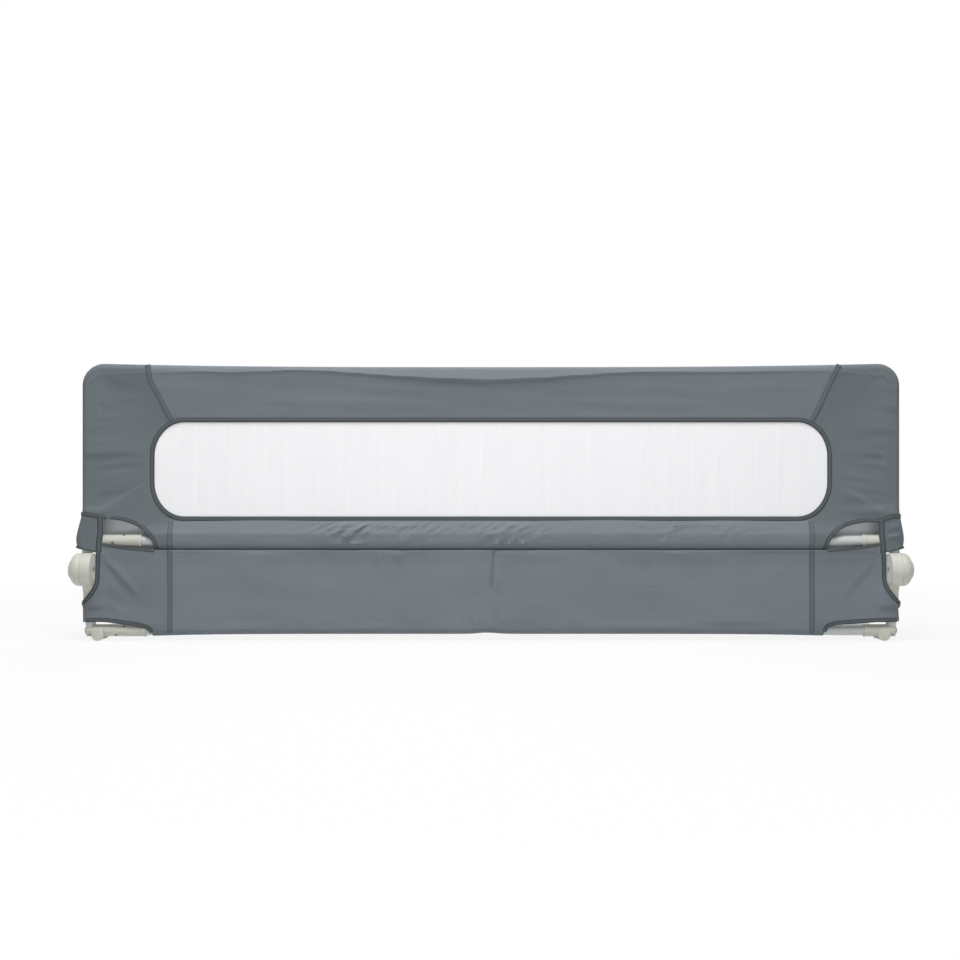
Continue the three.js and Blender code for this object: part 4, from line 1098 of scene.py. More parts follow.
@dataclass
class Cover:
    """The cloth sleeve over the folding frame, with its mesh window, seams and bindings."""

    top_dip: float = 6.0
    corner: float = 40.0
    flare_left: float = 12.0
    flare_right: float = 8.8
    flare_top: float = 245.0
    flare_bottom: float = 180.0
    lower_corner: float = 66.0
    window_x: float = 623.0
    window_low: float = 222.5
    window_high: float = 405.5
    window_corner_x: float = 60.0
    window_corner_z: float = 67.3
    opening_x: float = 711.0
    opening_width: float = 95.0
    opening_height: float = 57.5
    side_hem_z: float = 161.6
    side_hem_x: float = 722.0
    side_hem_slope: float = 0.225
    seam_y: float = -4.5
    tape_width: float = 9.0
    edge_tape: float = 7.9
    shoulder_x: float = 721.8
    shoulder_top: float = 485.3
    shoulder_low: float = 196.5
    # the place along the guard and the height of the crease that the slack cloth makes under the top rail
    top_crease: tuple[Point2, ...] = (
        (-717, 485.3), (-640, 490), (-533, 494), (-475, 492), (-416, 494), (-357, 496), (-298, 494.5),
        (-252, 491), (-205, 487.5), (-166, 484.5), (-82, 480.5), (0, 478), (87, 481.5), (157, 486.5),
        (227, 491), (274, 493), (421, 493), (605, 495), (717, 485.3),
    )  # fmt: skip
    # the place along the guard and how far the slack cloth hangs forward there
    slack: tuple[Point2, ...] = (
        (-640, 0.4), (-475, 1.8), (-357, 1.2), (-252, 2.2), (-166, 3.4), (-40, 4.4), (87, 3.6),
        (227, 2.2), (421, 1.6), (640, 0.5),
    )  # fmt: skip

    # where tight cloth stands up in a ridge: its height, its two ends as on the right, and its width
    ridges_right: tuple[tuple, ...] = (
        (3.8, (742, 245), (640, 235), 5.5), (2.0, (744, 236), (690, 233), 3.4),
        (3.4, (754, 214), (724, 205), 3.6), (3.0, (757, 196), (722, 188), 4.0),
        (1.6, (738, 318), (668, 326), 3.0), (1.4, (730, 340), (676, 345), 3.0),
        (1.5, (688, 499), (704, 476), 2.8), (1.3, (714, 491), (738, 470), 3.0),
    )  # fmt: skip
    ridges_left: tuple[tuple, ...] = (
        (1.6, (744, 240), (690, 236), 5.0), (1.5, (688, 499), (704, 476), 2.8),
        (1.3, (714, 491), (738, 470), 3.0),
    )  # fmt: skip

    def top_at(self, x: float) -> float:
        """The height of the top edge."""
        share = min(abs(x) / (AT.width / 2 - self.corner), 1)
        return AT.height - self.top_dip * (1 - share**3)

    def flare(self, side: Side) -> float:
        """How far the cover stands wider over the hub of one end."""
        return self.flare_left if side is Side.LEFT else self.flare_right

    def side_at(self, z: float, side: Side = Side.LEFT) -> float:
        """Half the cover's width at a height."""
        return AT.width / 2 + self.flare(side) * smooth(z, self.flare_top, self.flare_bottom)

    def half_depth(self, x: float, z: float) -> float:
        """Half the depth where the cover lies over the tubes and the fittings.

        Args:
            x: the place along the guard.
            z: the height.

        Returns:
            Its distance from the tube plane.
        """
        sleeve_full, sleeve_top = 229.7, 246.25
        arm_share = smooth(z, sleeve_top, sleeve_full) * smooth(abs(x), 693, 724.3)
        rail_share = smooth(z, 243.5, 194.1)
        arm = mix(AT.tube, AT.socket, arm_share)
        rail = mix(AT.tube, AT.sleeve + AT.lip, rail_share)
        return max(arm, rail) + AT.clearance + AT.cloth

    def window_edge(self, offset: float, steps: int = 14) -> list[Point2]:
        """The window's outline, moved out by an offset.

        Args:
            offset: how far outside the window's own edge.
            steps: the number of steps in a corner.

        Returns:
            (x, z) points, in order round.
        """
        cx, cz = self.window_x - self.window_corner_x, self.window_corner_z
        rx, rz = self.window_corner_x + offset, self.window_corner_z + offset
        points: list[Point2] = []
        points += quarter((cx, self.window_high - cz), rx, rz, 0, 90, steps)
        points += self._between(points[-1], (-cx, self.window_high + offset))
        points += quarter((-cx, self.window_high - cz), rx, rz, 90, 180, steps)
        points += quarter((-cx, self.window_low + cz), rx, rz, 180, 270, steps)
        points += self._between(points[-1], (cx, self.window_low - offset))
        points += quarter((cx, self.window_low + cz), rx, rz, 270, 360, steps)
        return points

    @staticmethod
    def _between(start: Point2, end: Point2) -> list[Point2]:
        """Points on a long straight edge, so that tape can follow its cloth."""
        count = 90
        return [(mix(start[0], end[0], i / count), mix(start[1], end[1], i / count)) for i in range(1, count)]

    def stations(self) -> list[tuple[Point2, Point2, Point2]]:
        """Matching points of the outer edge, the line where the cloth leaves the tubes, and the window.

        Returns:
            Triples of (x, z) points, in order round.
        """
        flat_x = AT.width / 2 - self.corner
        bend_z = self.flare_bottom + 9.45
        inner_x = self.window_x - self.window_corner_x
        soft = 5.0
        top_steps = bottom_steps = 340
        across = []
        for i in range(top_steps + 1):
            share = mix(1, -1, i / top_steps)
            x = flat_x * share
            shoulder = ((self.shoulder_x - soft) * share, through(self.top_crease, x))
            across.append(((x, self.top_at(x)), shoulder, (inner_x * share, self.window_high)))
        bottom = []
        lower_x = AT.width / 2 - self.lower_corner
        for i in range(1, bottom_steps):
            share = mix(-1, 1, i / bottom_steps)
            edge = ((lower_x + self.flare(Side.of(share))) * share, bend_z - self.lower_corner)
            crease = ((self.shoulder_x - soft) * share, self.shoulder_low)
            bottom.append((edge, crease, (inner_x * share, self.window_low)))
        side, lower = self._end_stations(Side.RIGHT, soft)
        other, other_lower = self._end_stations(Side.LEFT, soft)
        return [*side, *across, *reversed(other), *other_lower, *bottom, *reversed(lower)]

    def _end_stations(self, end: Side, soft: float) -> tuple[list, list]:
        """Matching points at one end, up its side and top corner, and down its lower corner.

        Args:
            end: the end of the guard.
            soft: the radius of the corners of the middle line.

        Returns:
            The triples from the lower bend up to the top edge, and those from the bend down.
        """
        flat_x, flat_z = AT.width / 2 - self.corner, AT.height - self.corner
        bend_z = self.flare_bottom + 9.45
        lower_x = AT.width / 2 + self.flare(end) - self.lower_corner
        inner_x = self.window_x - self.window_corner_x
        inner_top, inner_low = self.window_high - self.window_corner_z, self.window_low + self.window_corner_z
        side_steps, corner_steps = 60, 14
        middle_x = self.shoulder_x - soft
        side = []
        for i in range(side_steps):
            share = i / side_steps
            z = mix(bend_z, flat_z, share)
            shoulder = (self.shoulder_x, mix(self.shoulder_low + soft, self.shoulder_top - soft, share))
            window = (self.window_x, mix(inner_low, inner_top, share))
            side.append(((self.side_at(z, end), z), shoulder, window))
        corner, lower = self.corner, self.lower_corner
        wide, high = self.window_corner_x, self.window_corner_z
        outer = quarter((flat_x, flat_z), corner, corner, 0, 90, corner_steps)
        middle = quarter((middle_x, self.shoulder_top - soft), soft, soft, 0, 90, corner_steps)
        inner = quarter((inner_x, inner_top), wide, high, 0, 90, corner_steps)
        side += list(zip(outer[:-1], middle[:-1], inner[:-1]))
        outer = quarter((lower_x, bend_z), lower, lower, 0, -90, corner_steps)
        middle = quarter((middle_x, self.shoulder_low + soft), soft, soft, 0, -90, corner_steps)
        inner = quarter((inner_x, inner_low), wide, high, 0, -90, corner_steps)
        lower = list(zip(outer[1:], middle[1:], inner[1:]))
        sign = end.value
        side, lower = ([tuple((sign * x, z) for x, z in row) for row in part] for part in (side, lower))
        return side, lower

    def fold_at(self, x: float, z: float) -> float:
        """How far the slack cloth under the top rail hangs forward of the tube, at its crease.

        Args:
            x: the place along the guard.
            z: the height.

        Returns:
            The distance, which is 0 away from the crease.
        """
        if z < 460:
            return 0.0
        return through(self.slack, x) * smooth(abs(x), 712, 600)

    def ring(self, station: tuple[Point2, Point2, Point2]) -> list[Vector]:
        """One section of the sleeve, from the window's front edge round the tube to its back edge.

        The cloth goes round the tube, leaves it in a straight line for the crease, tucks in under it and
        runs flat to the window.

        Args:
            station: matching points of the outer edge, the crease and the window.

        Returns:
            The section's points.
        """
        (ox, oz), (cx, cz), (wx, wz) = station
        span = math.hypot(cx - ox, cz - oz)
        radius, shoulder = self.half_depth(ox, oz), self.half_depth(cx, cz)
        fold = self.fold_at(cx, cz)
        crease = shoulder + fold
        drop = span - radius
        reach = math.hypot(crease, drop)
        lift = max(math.acos(min(radius / reach, 1)) - math.atan2(drop, crease), 0.0)
        turned = math.pi / 2 - lift

        def nose(steps: int, shares: Sequence[float]) -> list[Point2]:
            """The cloth's way round the tube and on to the crease, as distances along and out.

            Args:
                steps: the number of steps round the tube.
                shares: the places on the straight stretch, from 0 to 1.

            Returns:
                (distance inward, depth) pairs.
            """
            turns = [turned * i / steps for i in range(1, steps + 1)]
            arc = [(radius * (1 - math.cos(a)), radius * math.sin(a)) for a in turns]
            last = arc[-1]
            return arc + [(mix(last[0], span, share), mix(last[1], crease, share)) for share in shares]

        fine = (0.1, 0.2, 0.3, 0.4, 0.45, 0.475, 0.49, 0.505, 0.52, 0.54, 0.56, 0.59, 0.63, 0.7, 0.8, 0.9)
        even = (0.17 + 0.08 * i for i in range(8))
        panel = (0.0, 0.03, 0.06, 0.1, *even, 0.8, 0.86, 0.9, 0.93, 0.96, 0.985)
        back_panel = (0.0, 0.05, 0.15, 0.3, 0.5, 0.7, 0.85, 0.95)
        back_fine = (0.2, 0.4, 0.49, 0.6, 0.8)
        ways = ((panel, nose(10, fine), 1.0, 0.93), (back_panel, nose(7, back_fine), 0.5, 0.8))
        sheets = []
        for shares, way, half, start in ways:
            out = []
            for share in shares:
                depth = mix(AT.cloth, shoulder, share) + half * fold * smooth(share, start, 1.0)
                out.append((mix(wx, cx, share), mix(wz, cz, share), depth))
            out.append((cx, cz, shoulder + half * fold))
            for along, depth in reversed(way):
                part = along / span
                slack = (half - 1) * fold * smooth(depth, radius * 0.8, crease)
                out.append((mix(ox, cx, part), mix(oz, cz, part), max(depth + slack, 0)))
            sheets.append(out)
        points = [Vector((x, -y, z)) for x, z, y in sheets[0]]
        points.append(Vector((ox, 0, oz)))
        return points + [Vector((x, y, z)) for x, z, y in reversed(sheets[1])]

    def opening_arc(self, side: Side, offset: float, steps: int) -> list[Point2]:
        """The curved edge of an opening, from its top outwards end to its tip.

        Args:
            side: the end of the guard.
            offset: how far outside the edge.
            steps: the number of steps.

        Returns:
            (x, z) points.
        """
        sag = 0.11 if side is Side.RIGHT else 0.0
        points = []
        width, height = self.opening_width + offset, self.opening_height + offset
        for x, z in quarter((0, 0), width, height, 90, 180, steps):
            near = 1 + x / self.opening_width
            points.append((side.value * (self.opening_x + x), AT.crease_z + z * (1 - sag * max(near, 0))))
        return points

    def opening(self, side: Side) -> list[Point2]:
        """The opening at one end through which the middle rail's end shows.

        Args:
            side: the end of the guard.

        Returns:
            (x, z) corners, in order round.
        """
        arc = self.opening_arc(side, 0, 22)
        tip, edge, foot = arc[-1][0], arc[0][0], AT.crease_z - 16
        return [*arc, (tip, foot), (edge + side.value * 0.001, foot), (edge, AT.crease_z + 20)]

    def below(self) -> list[Point2]:
        """What is cut off below: level at the crease, and a hem that rises outward over each hub.

        Returns:
            (x, z) corners, in order round.
        """
        end_z = self.side_hem_z + self.side_hem_slope * (BEYOND_X - self.side_hem_x)
        right = [(self.opening_x, AT.crease_z), (self.opening_x + 0.001, self.side_hem_z)]
        right += [(self.side_hem_x, self.side_hem_z), (BEYOND_X, end_z), (BEYOND_X, 60.0)]
        return [*right, *flipped(right)]

    def relief(self, p: Vector) -> float:
        """How far folds and puckers stand out of the front sheet, at a place on it.

        Args:
            p: the place; only its x and z count.

        Returns:
            The distance forward.
        """
        x, z = p.x, p.z
        out = ripple(x / 150, z / 80, 3.1) * 1.6
        # puckers of the band between window and crease, drawn askew by the seam
        band = smooth(z, 168, 180) * smooth(z, 219, 210) * smooth(abs(x), 612, 570)
        along, across = 0.8 * x + 0.6 * z, 0.8 * z - 0.6 * x
        puckers = ripple(along / 34, across / 9, 8.0)
        puckers += 0.5 * ripple((along + across) / 16, across / 6, 1.0)
        crowd = 0.15 + 1.1 * bump(x, -256, 55) + 0.9 * bump(x, -134, 42)
        crowd += bump(x, 30, 65) + 0.4 * bump(x, 330, 140)
        out += band * crowd * (2.0 + 5.0 * puckers)
        # long shallow ripples over the window
        wave = ripple(x / 170, (z + 0.05 * x) / 13, 1.7)
        out += smooth(z, 408, 424) * smooth(z, 478, 460) * 1.3 * wave * smooth(abs(x), 640, 560)
        # cross wrinkles where the end panels are drawn round the side posts
        ends = smooth(abs(x), 632, 670) * smooth(z, 232, 250) * smooth(z, 480, 440)
        out += ends * 2.6 * ripple(x / 110, (z + 0.12 * abs(x)) / 14, 5.5 if x > 0 else 2.2)
        for height, start, end, width in self.ridges_right if x > 0 else self.ridges_left:
            out += height * self.drawn(abs(x), z, start, end, width)
        over_tube = max(smooth(z, 468, 478), smooth(abs(x), 714, 724), smooth(z, 204, 197))
        return max(out, 0) + min(out, 0) * (1 - over_tube)

    @staticmethod
    def drawn(x: float, z: float, start: Point2, end: Point2, width: float) -> float:
        """A soft ridge between two places, as where cloth is drawn tight.

        Args:
            x: the place along the guard.
            z: the height.
            start: where the ridge starts.
            end: where it ends.
            width: how wide it is.

        Returns:
            Its height there, from 0 to 1.
        """
        a, b, p = Vector(start), Vector(end), Vector((x, z))
        share = min(max((p - a).dot(b - a) / (b - a).length_squared, 0), 1)
        gap = (a + (b - a) * share - p).length
        return bump(gap, 0, width) * smooth(share, -0.1, 0.25) * smooth(share, 1.05, 0.6)

    def build(self) -> None:
        """Makes the cover, the window and every tape on them."""
        sheet = Sheet()
        sheet.weave([self.ring(s) for s in self.stations()], closed=True)
        bm = sheet.bm
        sheet.trim(self.below())
        for side in Side:
            sheet.trim(self.opening(side), keep_behind=lambda c: c.y > 0)
        self._close_under_rail(bm)
        for vert in bm.verts:
            self._settle(vert)
        bmesh.ops.recalc_face_normals(bm, faces=bm.faces)
        thick = sheet.thicken(AT.cloth, 1.0, 1.0)
        cloth = finish("cover_cloth", thick, Body.GUARD, COVER_CLOTH, ["cover"], sharp=50)
        tapes = [
            self._window_tape(),
            *self._opening_tapes(Side.LEFT),
            *self._opening_tapes(Side.RIGHT),
            *self._seams(),
            self._crease_tape(),
        ]
        net = self._window()

    def front_y(self, x: float, z: float) -> float:
        """The front sheet's place in depth, for tape that lies on it."""
        return self._surface(x, z) - self.relief(Vector((x, 0, z)))

    def _surface(self, x: float, z: float) -> float:
        """The front sheet's depth before folds, off the same sections as the cloth.

        Args:
            x: the place along the guard.
            z: the height.

        Returns:
            The place along Y.
        """
        crease = through(self.top_crease, x)
        left_x, right_x = self.window_x - self.window_corner_x, self.window_x
        low, high = self.window_low + self.window_corner_z, self.window_high - self.window_corner_z
        shares = [0.0]
        if z > self.window_high:
            shares.append((z - self.window_high) / (crease - self.window_high))
        if z < self.window_low:
            shares.append((self.window_low - z) / (self.window_low - self.shoulder_low))
        if abs(x) > left_x:
            dx = (abs(x) - left_x) / self.window_corner_x
            dz = max(z - high, low - z, 0) / self.window_corner_z
            out = max(math.hypot(dx, dz) - 1, 0) * self.window_corner_x
            shares.append(out / (self.shoulder_x - right_x))
        share = min(max(shares), 1.0)
        fold = self.fold_at(x, z) * smooth(share, 0.86, 1.0)
        return -self._pulled_in(mix(AT.cloth, self.half_depth(x, z), share) + fold, x, z)

    def _pulled_in(self, depth: float, x: float, z: float) -> float:
        """The depth drawn in, by a round lip, to the seam under the middle rail.

        Args:
            depth: the cloth's depth as it would be.
            x: the place along the guard.
            z: the height.

        Returns:
            The depth as it is.
        """
        start = 178.0
        if abs(x) > self.opening_x or z > start:
            return depth
        turned = min((start - z) / (start - AT.crease_z), 1)
        share = (1 - math.cos(turned * math.pi / 2)) * smooth(abs(x), self.opening_x, self.opening_x - 12)
        return mix(depth, -self.seam_y, share)

    def _settle(self, vert: BMVert) -> None:
        """Moves one point of the cover to where folds and the seam hold it.

        Args:
            vert: the point.
        """
        p = vert.co
        front = p.y < -0.5
        if front:
            away = smooth(abs(p.y), 0.6, 3.0) * smooth(p.z, AT.crease_z, AT.crease_z + 6)
            p.y = -self._pulled_in(-p.y, p.x, p.z)
            edge = self.side_at(p.z, Side.of(p.x))
            nose = smooth(abs(p.x), edge, edge - 12)
            p.y -= self.relief(p) * away * nose
        elif p.y > 0.5:
            back = ripple(p.x / 80, p.z / 50, 9.4) * 0.9
            p.y += back * smooth(p.y, 0.6, 3.0) * smooth(p.z, AT.crease_z, 190) * 0.8

    def _close_under_rail(self, bm: BMesh) -> None:
        """Brings the back sheet forward under the middle rail to the seam.

        Args:
            bm: the cover.
        """
        def hangs(vert: BMVert) -> bool:
            """Whether a point lies on the back sheet's lower edge."""
            p = vert.co
            return p.y > 1 and abs(p.z - AT.crease_z) < 0.1 and abs(p.x) < self.opening_x - 0.5

        edges = [e for e in bm.edges if e.is_boundary and all(hangs(v) for v in e.verts)]
        steps = ((9.0, 164.8), (4.0, 164.0), (0.0, 164.6), (self.seam_y + 0.9, 166.2))
        for y, z in steps:
            made = bmesh.ops.extrude_edge_only(bm, edges=edges)["geom"]
            for item in made:
                if isinstance(item, BMVert):
                    item.co.y, item.co.z = y, z
            edges = [item for item in made if isinstance(item, BMEdge)]

    def _window(self) -> Object:
        """The net, a taut sheet in the guard's middle plane.

        Returns:
            The net.
        """
        sheet = Sheet()
        edge = self.window_edge(-2.0)
        verts = [sheet.bm.verts.new((x, 0.4, z)) for x, z in edge]
        sheet.bm.faces.new(verts)
        bmesh.ops.triangulate(sheet.bm, faces=sheet.bm.faces)
        net = sheet.thicken(0.8, 0.0, 0.0)
        low = min(v.co.y for v in net.verts)
        bmesh.ops.translate(net, vec=(0, -0.4 - low, 0), verts=net.verts)
        return finish("window_net", net, Body.GUARD, WINDOW_NET, ["window_mesh"], sharp=30)

    def _window_tape(self) -> Object:
        """The binding round the window, folded over the edges of cloth and net.

        Returns:
            The binding.
        """
        path = [Vector((x, 0, z)) for x, z in self.window_edge(-0.5)]
        bm = tape(path, [FORWARD] * len(path), self.tape_width, 6.0, loop=True)
        return finish("window_tape", bm, Body.GUARD, EDGE_TAPE, ["window_binding"])

    def _on_front(self, places: Sequence[Point2], lift: float) -> tuple[list[Vector], list[Vector]]:
        """Brings (x, z) places on to the front sheet.

        Args:
            places: the tape's way, seen from the front.
            lift: how far the tape's middle stands in front of the cloth.

        Returns:
            The points and the way that the cloth looks at each.
        """
        points, normals = [], []
        for x, z in places:
            points.append(Vector((x, self.front_y(x, z) - lift, z)))
            dx = (self._surface(x + 3, z) - self._surface(x - 3, z)) / 6
            dz = (self._surface(x, z + 3) - self._surface(x, z - 3)) / 6
            normals.append(Vector((dx, -1, dz)).normalized())
        return points, normals

    def _round_side(
        self, side: Side, z: float, end: float, steps: int, rise: float = 0.0, lift: float = 0.3
    ) -> list[tuple[Vector, Vector]]:
        """The way round the cover's side at a height, from the front to the back.

        Args:
            side: the end of the guard.
            z: the height where it starts.
            end: the last angle in degrees, 90 at the front and -90 at the back.
            steps: the number of steps.
            rise: how much the way rises for each millimetre outward.
            lift: how far it stands off the cloth.

        Returns:
            Points with the way that the cloth looks there.
        """
        way = []
        for i in range(steps + 1):
            angle = math.radians(mix(90, end, i / steps))
            depth = self.half_depth(self.side_at(z, side), z) + lift
            x = self.side_at(z, side) + lift - depth * (1 - math.cos(angle))
            place = Vector((side.value * x, -depth * math.sin(angle), z + rise * (x - self.side_hem_x)))
            way.append((place, Vector((side.value * math.cos(angle), -math.sin(angle), 0))))
        return way

    def _opening_tapes(self, side: Side) -> list[Object]:
        """The bindings of one end: over the opening and on round the side, down its edge, and the side hem.

        Args:
            side: the end of the guard.

        Returns:
            The three tapes.
        """
        half = self.edge_tape / 2 - 0.6
        sign = side.value
        arc = self.opening_arc(side, half, 30)
        start_z = arc[0][1]
        band_z = start_z + (4.5 if side is Side.LEFT else 7.5)
        over = self._round_side(side, band_z, -60, 16)[::-1]
        level = [(sign * mix(734, self.opening_x + 1, i / 8), mix(band_z, start_z, i / 8)) for i in range(9)]
        points, normals = self._on_front(level + arc, -0.2)
        points, normals = [p for p, _ in over] + points, [n for _, n in over] + normals
        made = [self._bound(f"opening_tape_over_{side.word}", points, normals)]
        foot = self.side_hem_z - 0.5
        down = []
        for i in range(19):
            z = mix(start_z, foot, i / 18)
            down.append((sign * (self.opening_x + half + 2.1 * smooth(z, 200, 176)), z))
        points, normals = self._on_front(down, -0.2)
        made.append(self._bound(f"opening_tape_down_{side.word}", points, normals, 2.3))
        low = self.side_hem_z + 1.4
        hem = []
        for x in (717, 721):
            hem.append((Vector((sign * x, 0.4 - self.half_depth(x, 170), low)), FORWARD))
        hem += self._round_side(side, low, -90, 18, self.side_hem_slope, -0.4)
        bm = tape([p for p, _ in hem], [n for _, n in hem], 3.2, 1.2)
        made.append(finish(f"side_hem_{side.word}", bm, Body.GUARD, EDGE_TAPE))
        return made

    def _bound(self, name: str, points: list[Vector], normals: list[Vector], wider: float = 0.0) -> Object:
        """Makes one binding of the usual width, or a little wider."""
        bm = tape(points, normals, self.edge_tape + wider, 2.8)
        return finish(name, bm, Body.GUARD, EDGE_TAPE)

    def _seams(self) -> list[Object]:
        """The felled seams between the middle and the end panels, above and below the window, as dark tapes
        that paint the shade in each seam's valley.

        Returns:
            The four seams.
        """
        made = []
        for side in Side:
            top = [(seam_x(z, side), z) for z in (mix(505.5, 405, i / 60) for i in range(61))]
            low = [(SEAM_FOOT_X, mix(219, AT.crease_z + 0.5, i / 40)) for i in range(41)]
            for name, places in (("upper", top), ("lower", low)):
                points, normals = self._on_front([(side.value * x, z) for x, z in places], 0.15)
                bm = tape(points, normals, 9.6, 1.6)
                made.append(finish(f"panel_seam_{name}_{side.word}", bm, Body.GUARD, SEAM_SHADE_TAPE))
        return made

    def _crease_tape(self) -> Object:
        """The narrow dark piping in the seam that joins cover and skirt, whose dark colour paints the shadow
        in the crease.

        Returns:
            The piping.
        """
        places = [(mix(-612, 612, i / 240), AT.crease_z + 0.4) for i in range(241)]
        points = [Vector((x, self.seam_y - 0.4, z)) for x, z in places]
        bm = tape(points, [FORWARD] * len(points), 2.0, 2.0)
        return finish("crease_shadow_piping", bm, Body.GUARD, EDGE_TAPE)


# Skirt


@dataclass
class Skirt:
    """The cloth from the middle rail down and round the bottom rail, which folds as the guard turns."""

    cut_x: float = 722.0
    cut_turn: float = 116.0
    cut_bend: float = 94.0
    cut_foot: float = 72.0
    cut_foot_x: float = 749.0
    rise: float = 11.0
    tape_width: float = 7.9
    least: dict[Side, float] = field(default_factory=lambda: {Side.LEFT: 13.8, Side.RIGHT: 11.4})

    def depth(self, x: float, z: float) -> float:
        """How far the cloth's face stands in front of the tube plane.

        Args:
            x: the place along the guard.
            z: the height.

        Returns:
            Its distance from the tube plane.
        """
        over_arm = smooth(z, 56.7, 63.5) * smooth(abs(x), 699, 722)
        under_drum = smooth(z, 93.6, 101) * smooth(z, 135, 116) * smooth(abs(x), 722, AT.lower_post_x)
        arm = AT.socket + under_drum * 4
        over_sleeve = smooth(abs(x), 602, 625) * smooth(z, 70, 30)
        base = mix(AT.tube, AT.sleeve + AT.lip, over_sleeve)
        near_top = smooth(z, 135, AT.crease_z - 3)
        base = mix(base, AT.sleeve + 0.6, near_top)
        full = max(mix(AT.tube, arm, over_arm), base) + AT.clearance + AT.cloth
        turned = min(max((z - AT.crease_z + 1.4) / 1.4, 0), 1)
        return mix(full, 5.5, (1 - math.sqrt(1 - turned**2)) * smooth(abs(x), 640, 600))

    def relief(self, x: float, z: float) -> float:
        """How far folds stand out of the skirt.

        Args:
            x: the place along the guard.
            z: the height.

        Returns:
            The distance forward.
        """
        away = smooth(z, 20, 36) * smooth(z, AT.crease_z, AT.crease_z - 8)
        out = ripple(x / 150, z / 60, 4.4) * 3.2
        out += ripple(x / 60, z / 45, 6.1) * 0.9
        lean = (AT.crease_z - z) * 0.06 + 1.2 * ripple(z / 14, 0, 5.2)
        hang = smooth(z, 84, 108)
        out += hang * (1.5 * bump(x, 16 - lean, 8) - 3.0 * bump(x, 5 - lean, 2.3))
        pleats = ripple((x - (AT.crease_z - z) * 0.3) / 15, z / 50, 2.5)
        out += pleats * smooth(z, 118, 158) * (0.5 + 2.0 * bump(x, -190, 60) + 1.6 * bump(x, 330, 120))
        gathers = ripple(x / 11, z / 40, 7.5) * smooth(z, 66, 30)
        out += gathers * (0.35 + 2.4 * bump(x, -20, 50))
        if abs(x) > 590:
            strong = 0.75 if x < 0 else 0.3
            drawn = Cover.drawn
            out += drawn(abs(x), z, (712, 158), (636, 76), 7.0) * 3.6 * strong
            out -= drawn(abs(x), z, (706, 140), (646, 62), 9.0) * 2.4 * strong
            out += drawn(abs(x), z, (712, 76), (668, 48), 6.0) * 1.8 * strong
        over_arm = smooth(abs(x), 696, 710)
        return (max(out, 0) + min(out, 0) * (1 - over_arm)) * away

    def column(self, x: float) -> list[Vector]:
        """One section: from behind the bottom rail, under it and up the front.

        Args:
            x: the place along the guard.

        Returns:
            The section's points.
        """
        z0 = AT.bottom_rail_z + AT.rail_rise(x)
        reach = AT.tube + AT.clearance + AT.cloth
        lift = 0.5 * ripple(x / 14, 0, 3.3) * bump(x, -20, 50)
        points = []
        for i in range(15):
            angle = -math.pi * i / 14
            points.append(Vector((x, reach * math.cos(angle), z0 + lift + reach * math.sin(angle))))
        points[0].z += 3
        heights = [mix(z0 + lift, 158.0, i / 42) for i in range(1, 43)]
        heights += [mix(158.0, AT.crease_z + self.rise, i / 13) for i in range(1, 14)]
        for z in heights:
            away = self.depth(x, z) + self.relief(x, z)
            away = mix(reach, away, smooth(z, z0, z0 + 14))
            points.append(Vector((x, -away, z)))
        return points

    def wrapped(self, side: Side, angle: float) -> list[Vector]:
        """One section beyond the lower post, where the cloth goes round it and the arm's socket.

        Args:
            side: the end of the guard.
            angle: how far round the post, in degrees.

        Returns:
            The section's points.
        """
        turn = math.radians(angle)
        points = []
        for p in self.column(side.value * AT.lower_post_x):
            reach = max(-p.y, self.least[side])
            x = AT.lower_post_x + reach * math.sin(turn)
            points.append(Vector((side.value * x, -reach * math.cos(turn), p.z)))
        return points

    def hub_curve(self, inset: float, steps: int) -> list[Point2]:
        """The edge of the right hub's cut-out below its straight part, moved into the cloth by an inset.

        Args:
            inset: how far into the cloth.
            steps: the number of steps.

        Returns:
            (x, z) points from the top down.
        """
        start, bend, end = (Vector(p) for p in (
            (self.cut_x - inset, self.cut_turn), (self.cut_x - inset, self.cut_bend - inset * 0.4),
            (self.cut_foot_x, self.cut_foot - inset * 1.2),
        ))  # fmt: skip
        points = []
        for i in range(steps + 1):
            t = i / steps
            p = start * (1 - t) ** 2 + bend * (2 * t * (1 - t)) + end * t**2
            points.append((p.x, p.y))
        return points

    def hub_cut(self) -> list[Point2]:
        """The cut-out for the right hub."""
        foot = (BEYOND_X, self.cut_foot)
        return [(self.cut_x, 190.0), *self.hub_curve(0, 16), foot, (BEYOND_X, 190.0)]

    @staticmethod
    def corner_edge(side: Side) -> list[Point2]:
        """The raised edge over one corner fitting, as on the right, from the hem outwards.

        Args:
            side: the end of the guard.

        Returns:
            (x, z) points.
        """
        if side is Side.RIGHT:
            foot = [(608.0, 6.0), (610.0, 14.0), (614.0, 22.0), (620.0, 26.8), (631.0, 29.6)]
            return [*foot, (662.0, 32.0), (703.0, 35.0), (752.0, 35.6)]
        foot = [(618.5, 6.0), (621.0, 12.5), (625.0, 18.5), (631.0, 23.0), (645.0, 26.6)]
        return [*foot, (662.0, 29.2), (689.0, 33.0), (706.0, 35.0), (722.0, 35.4), (752.0, 34.0)]

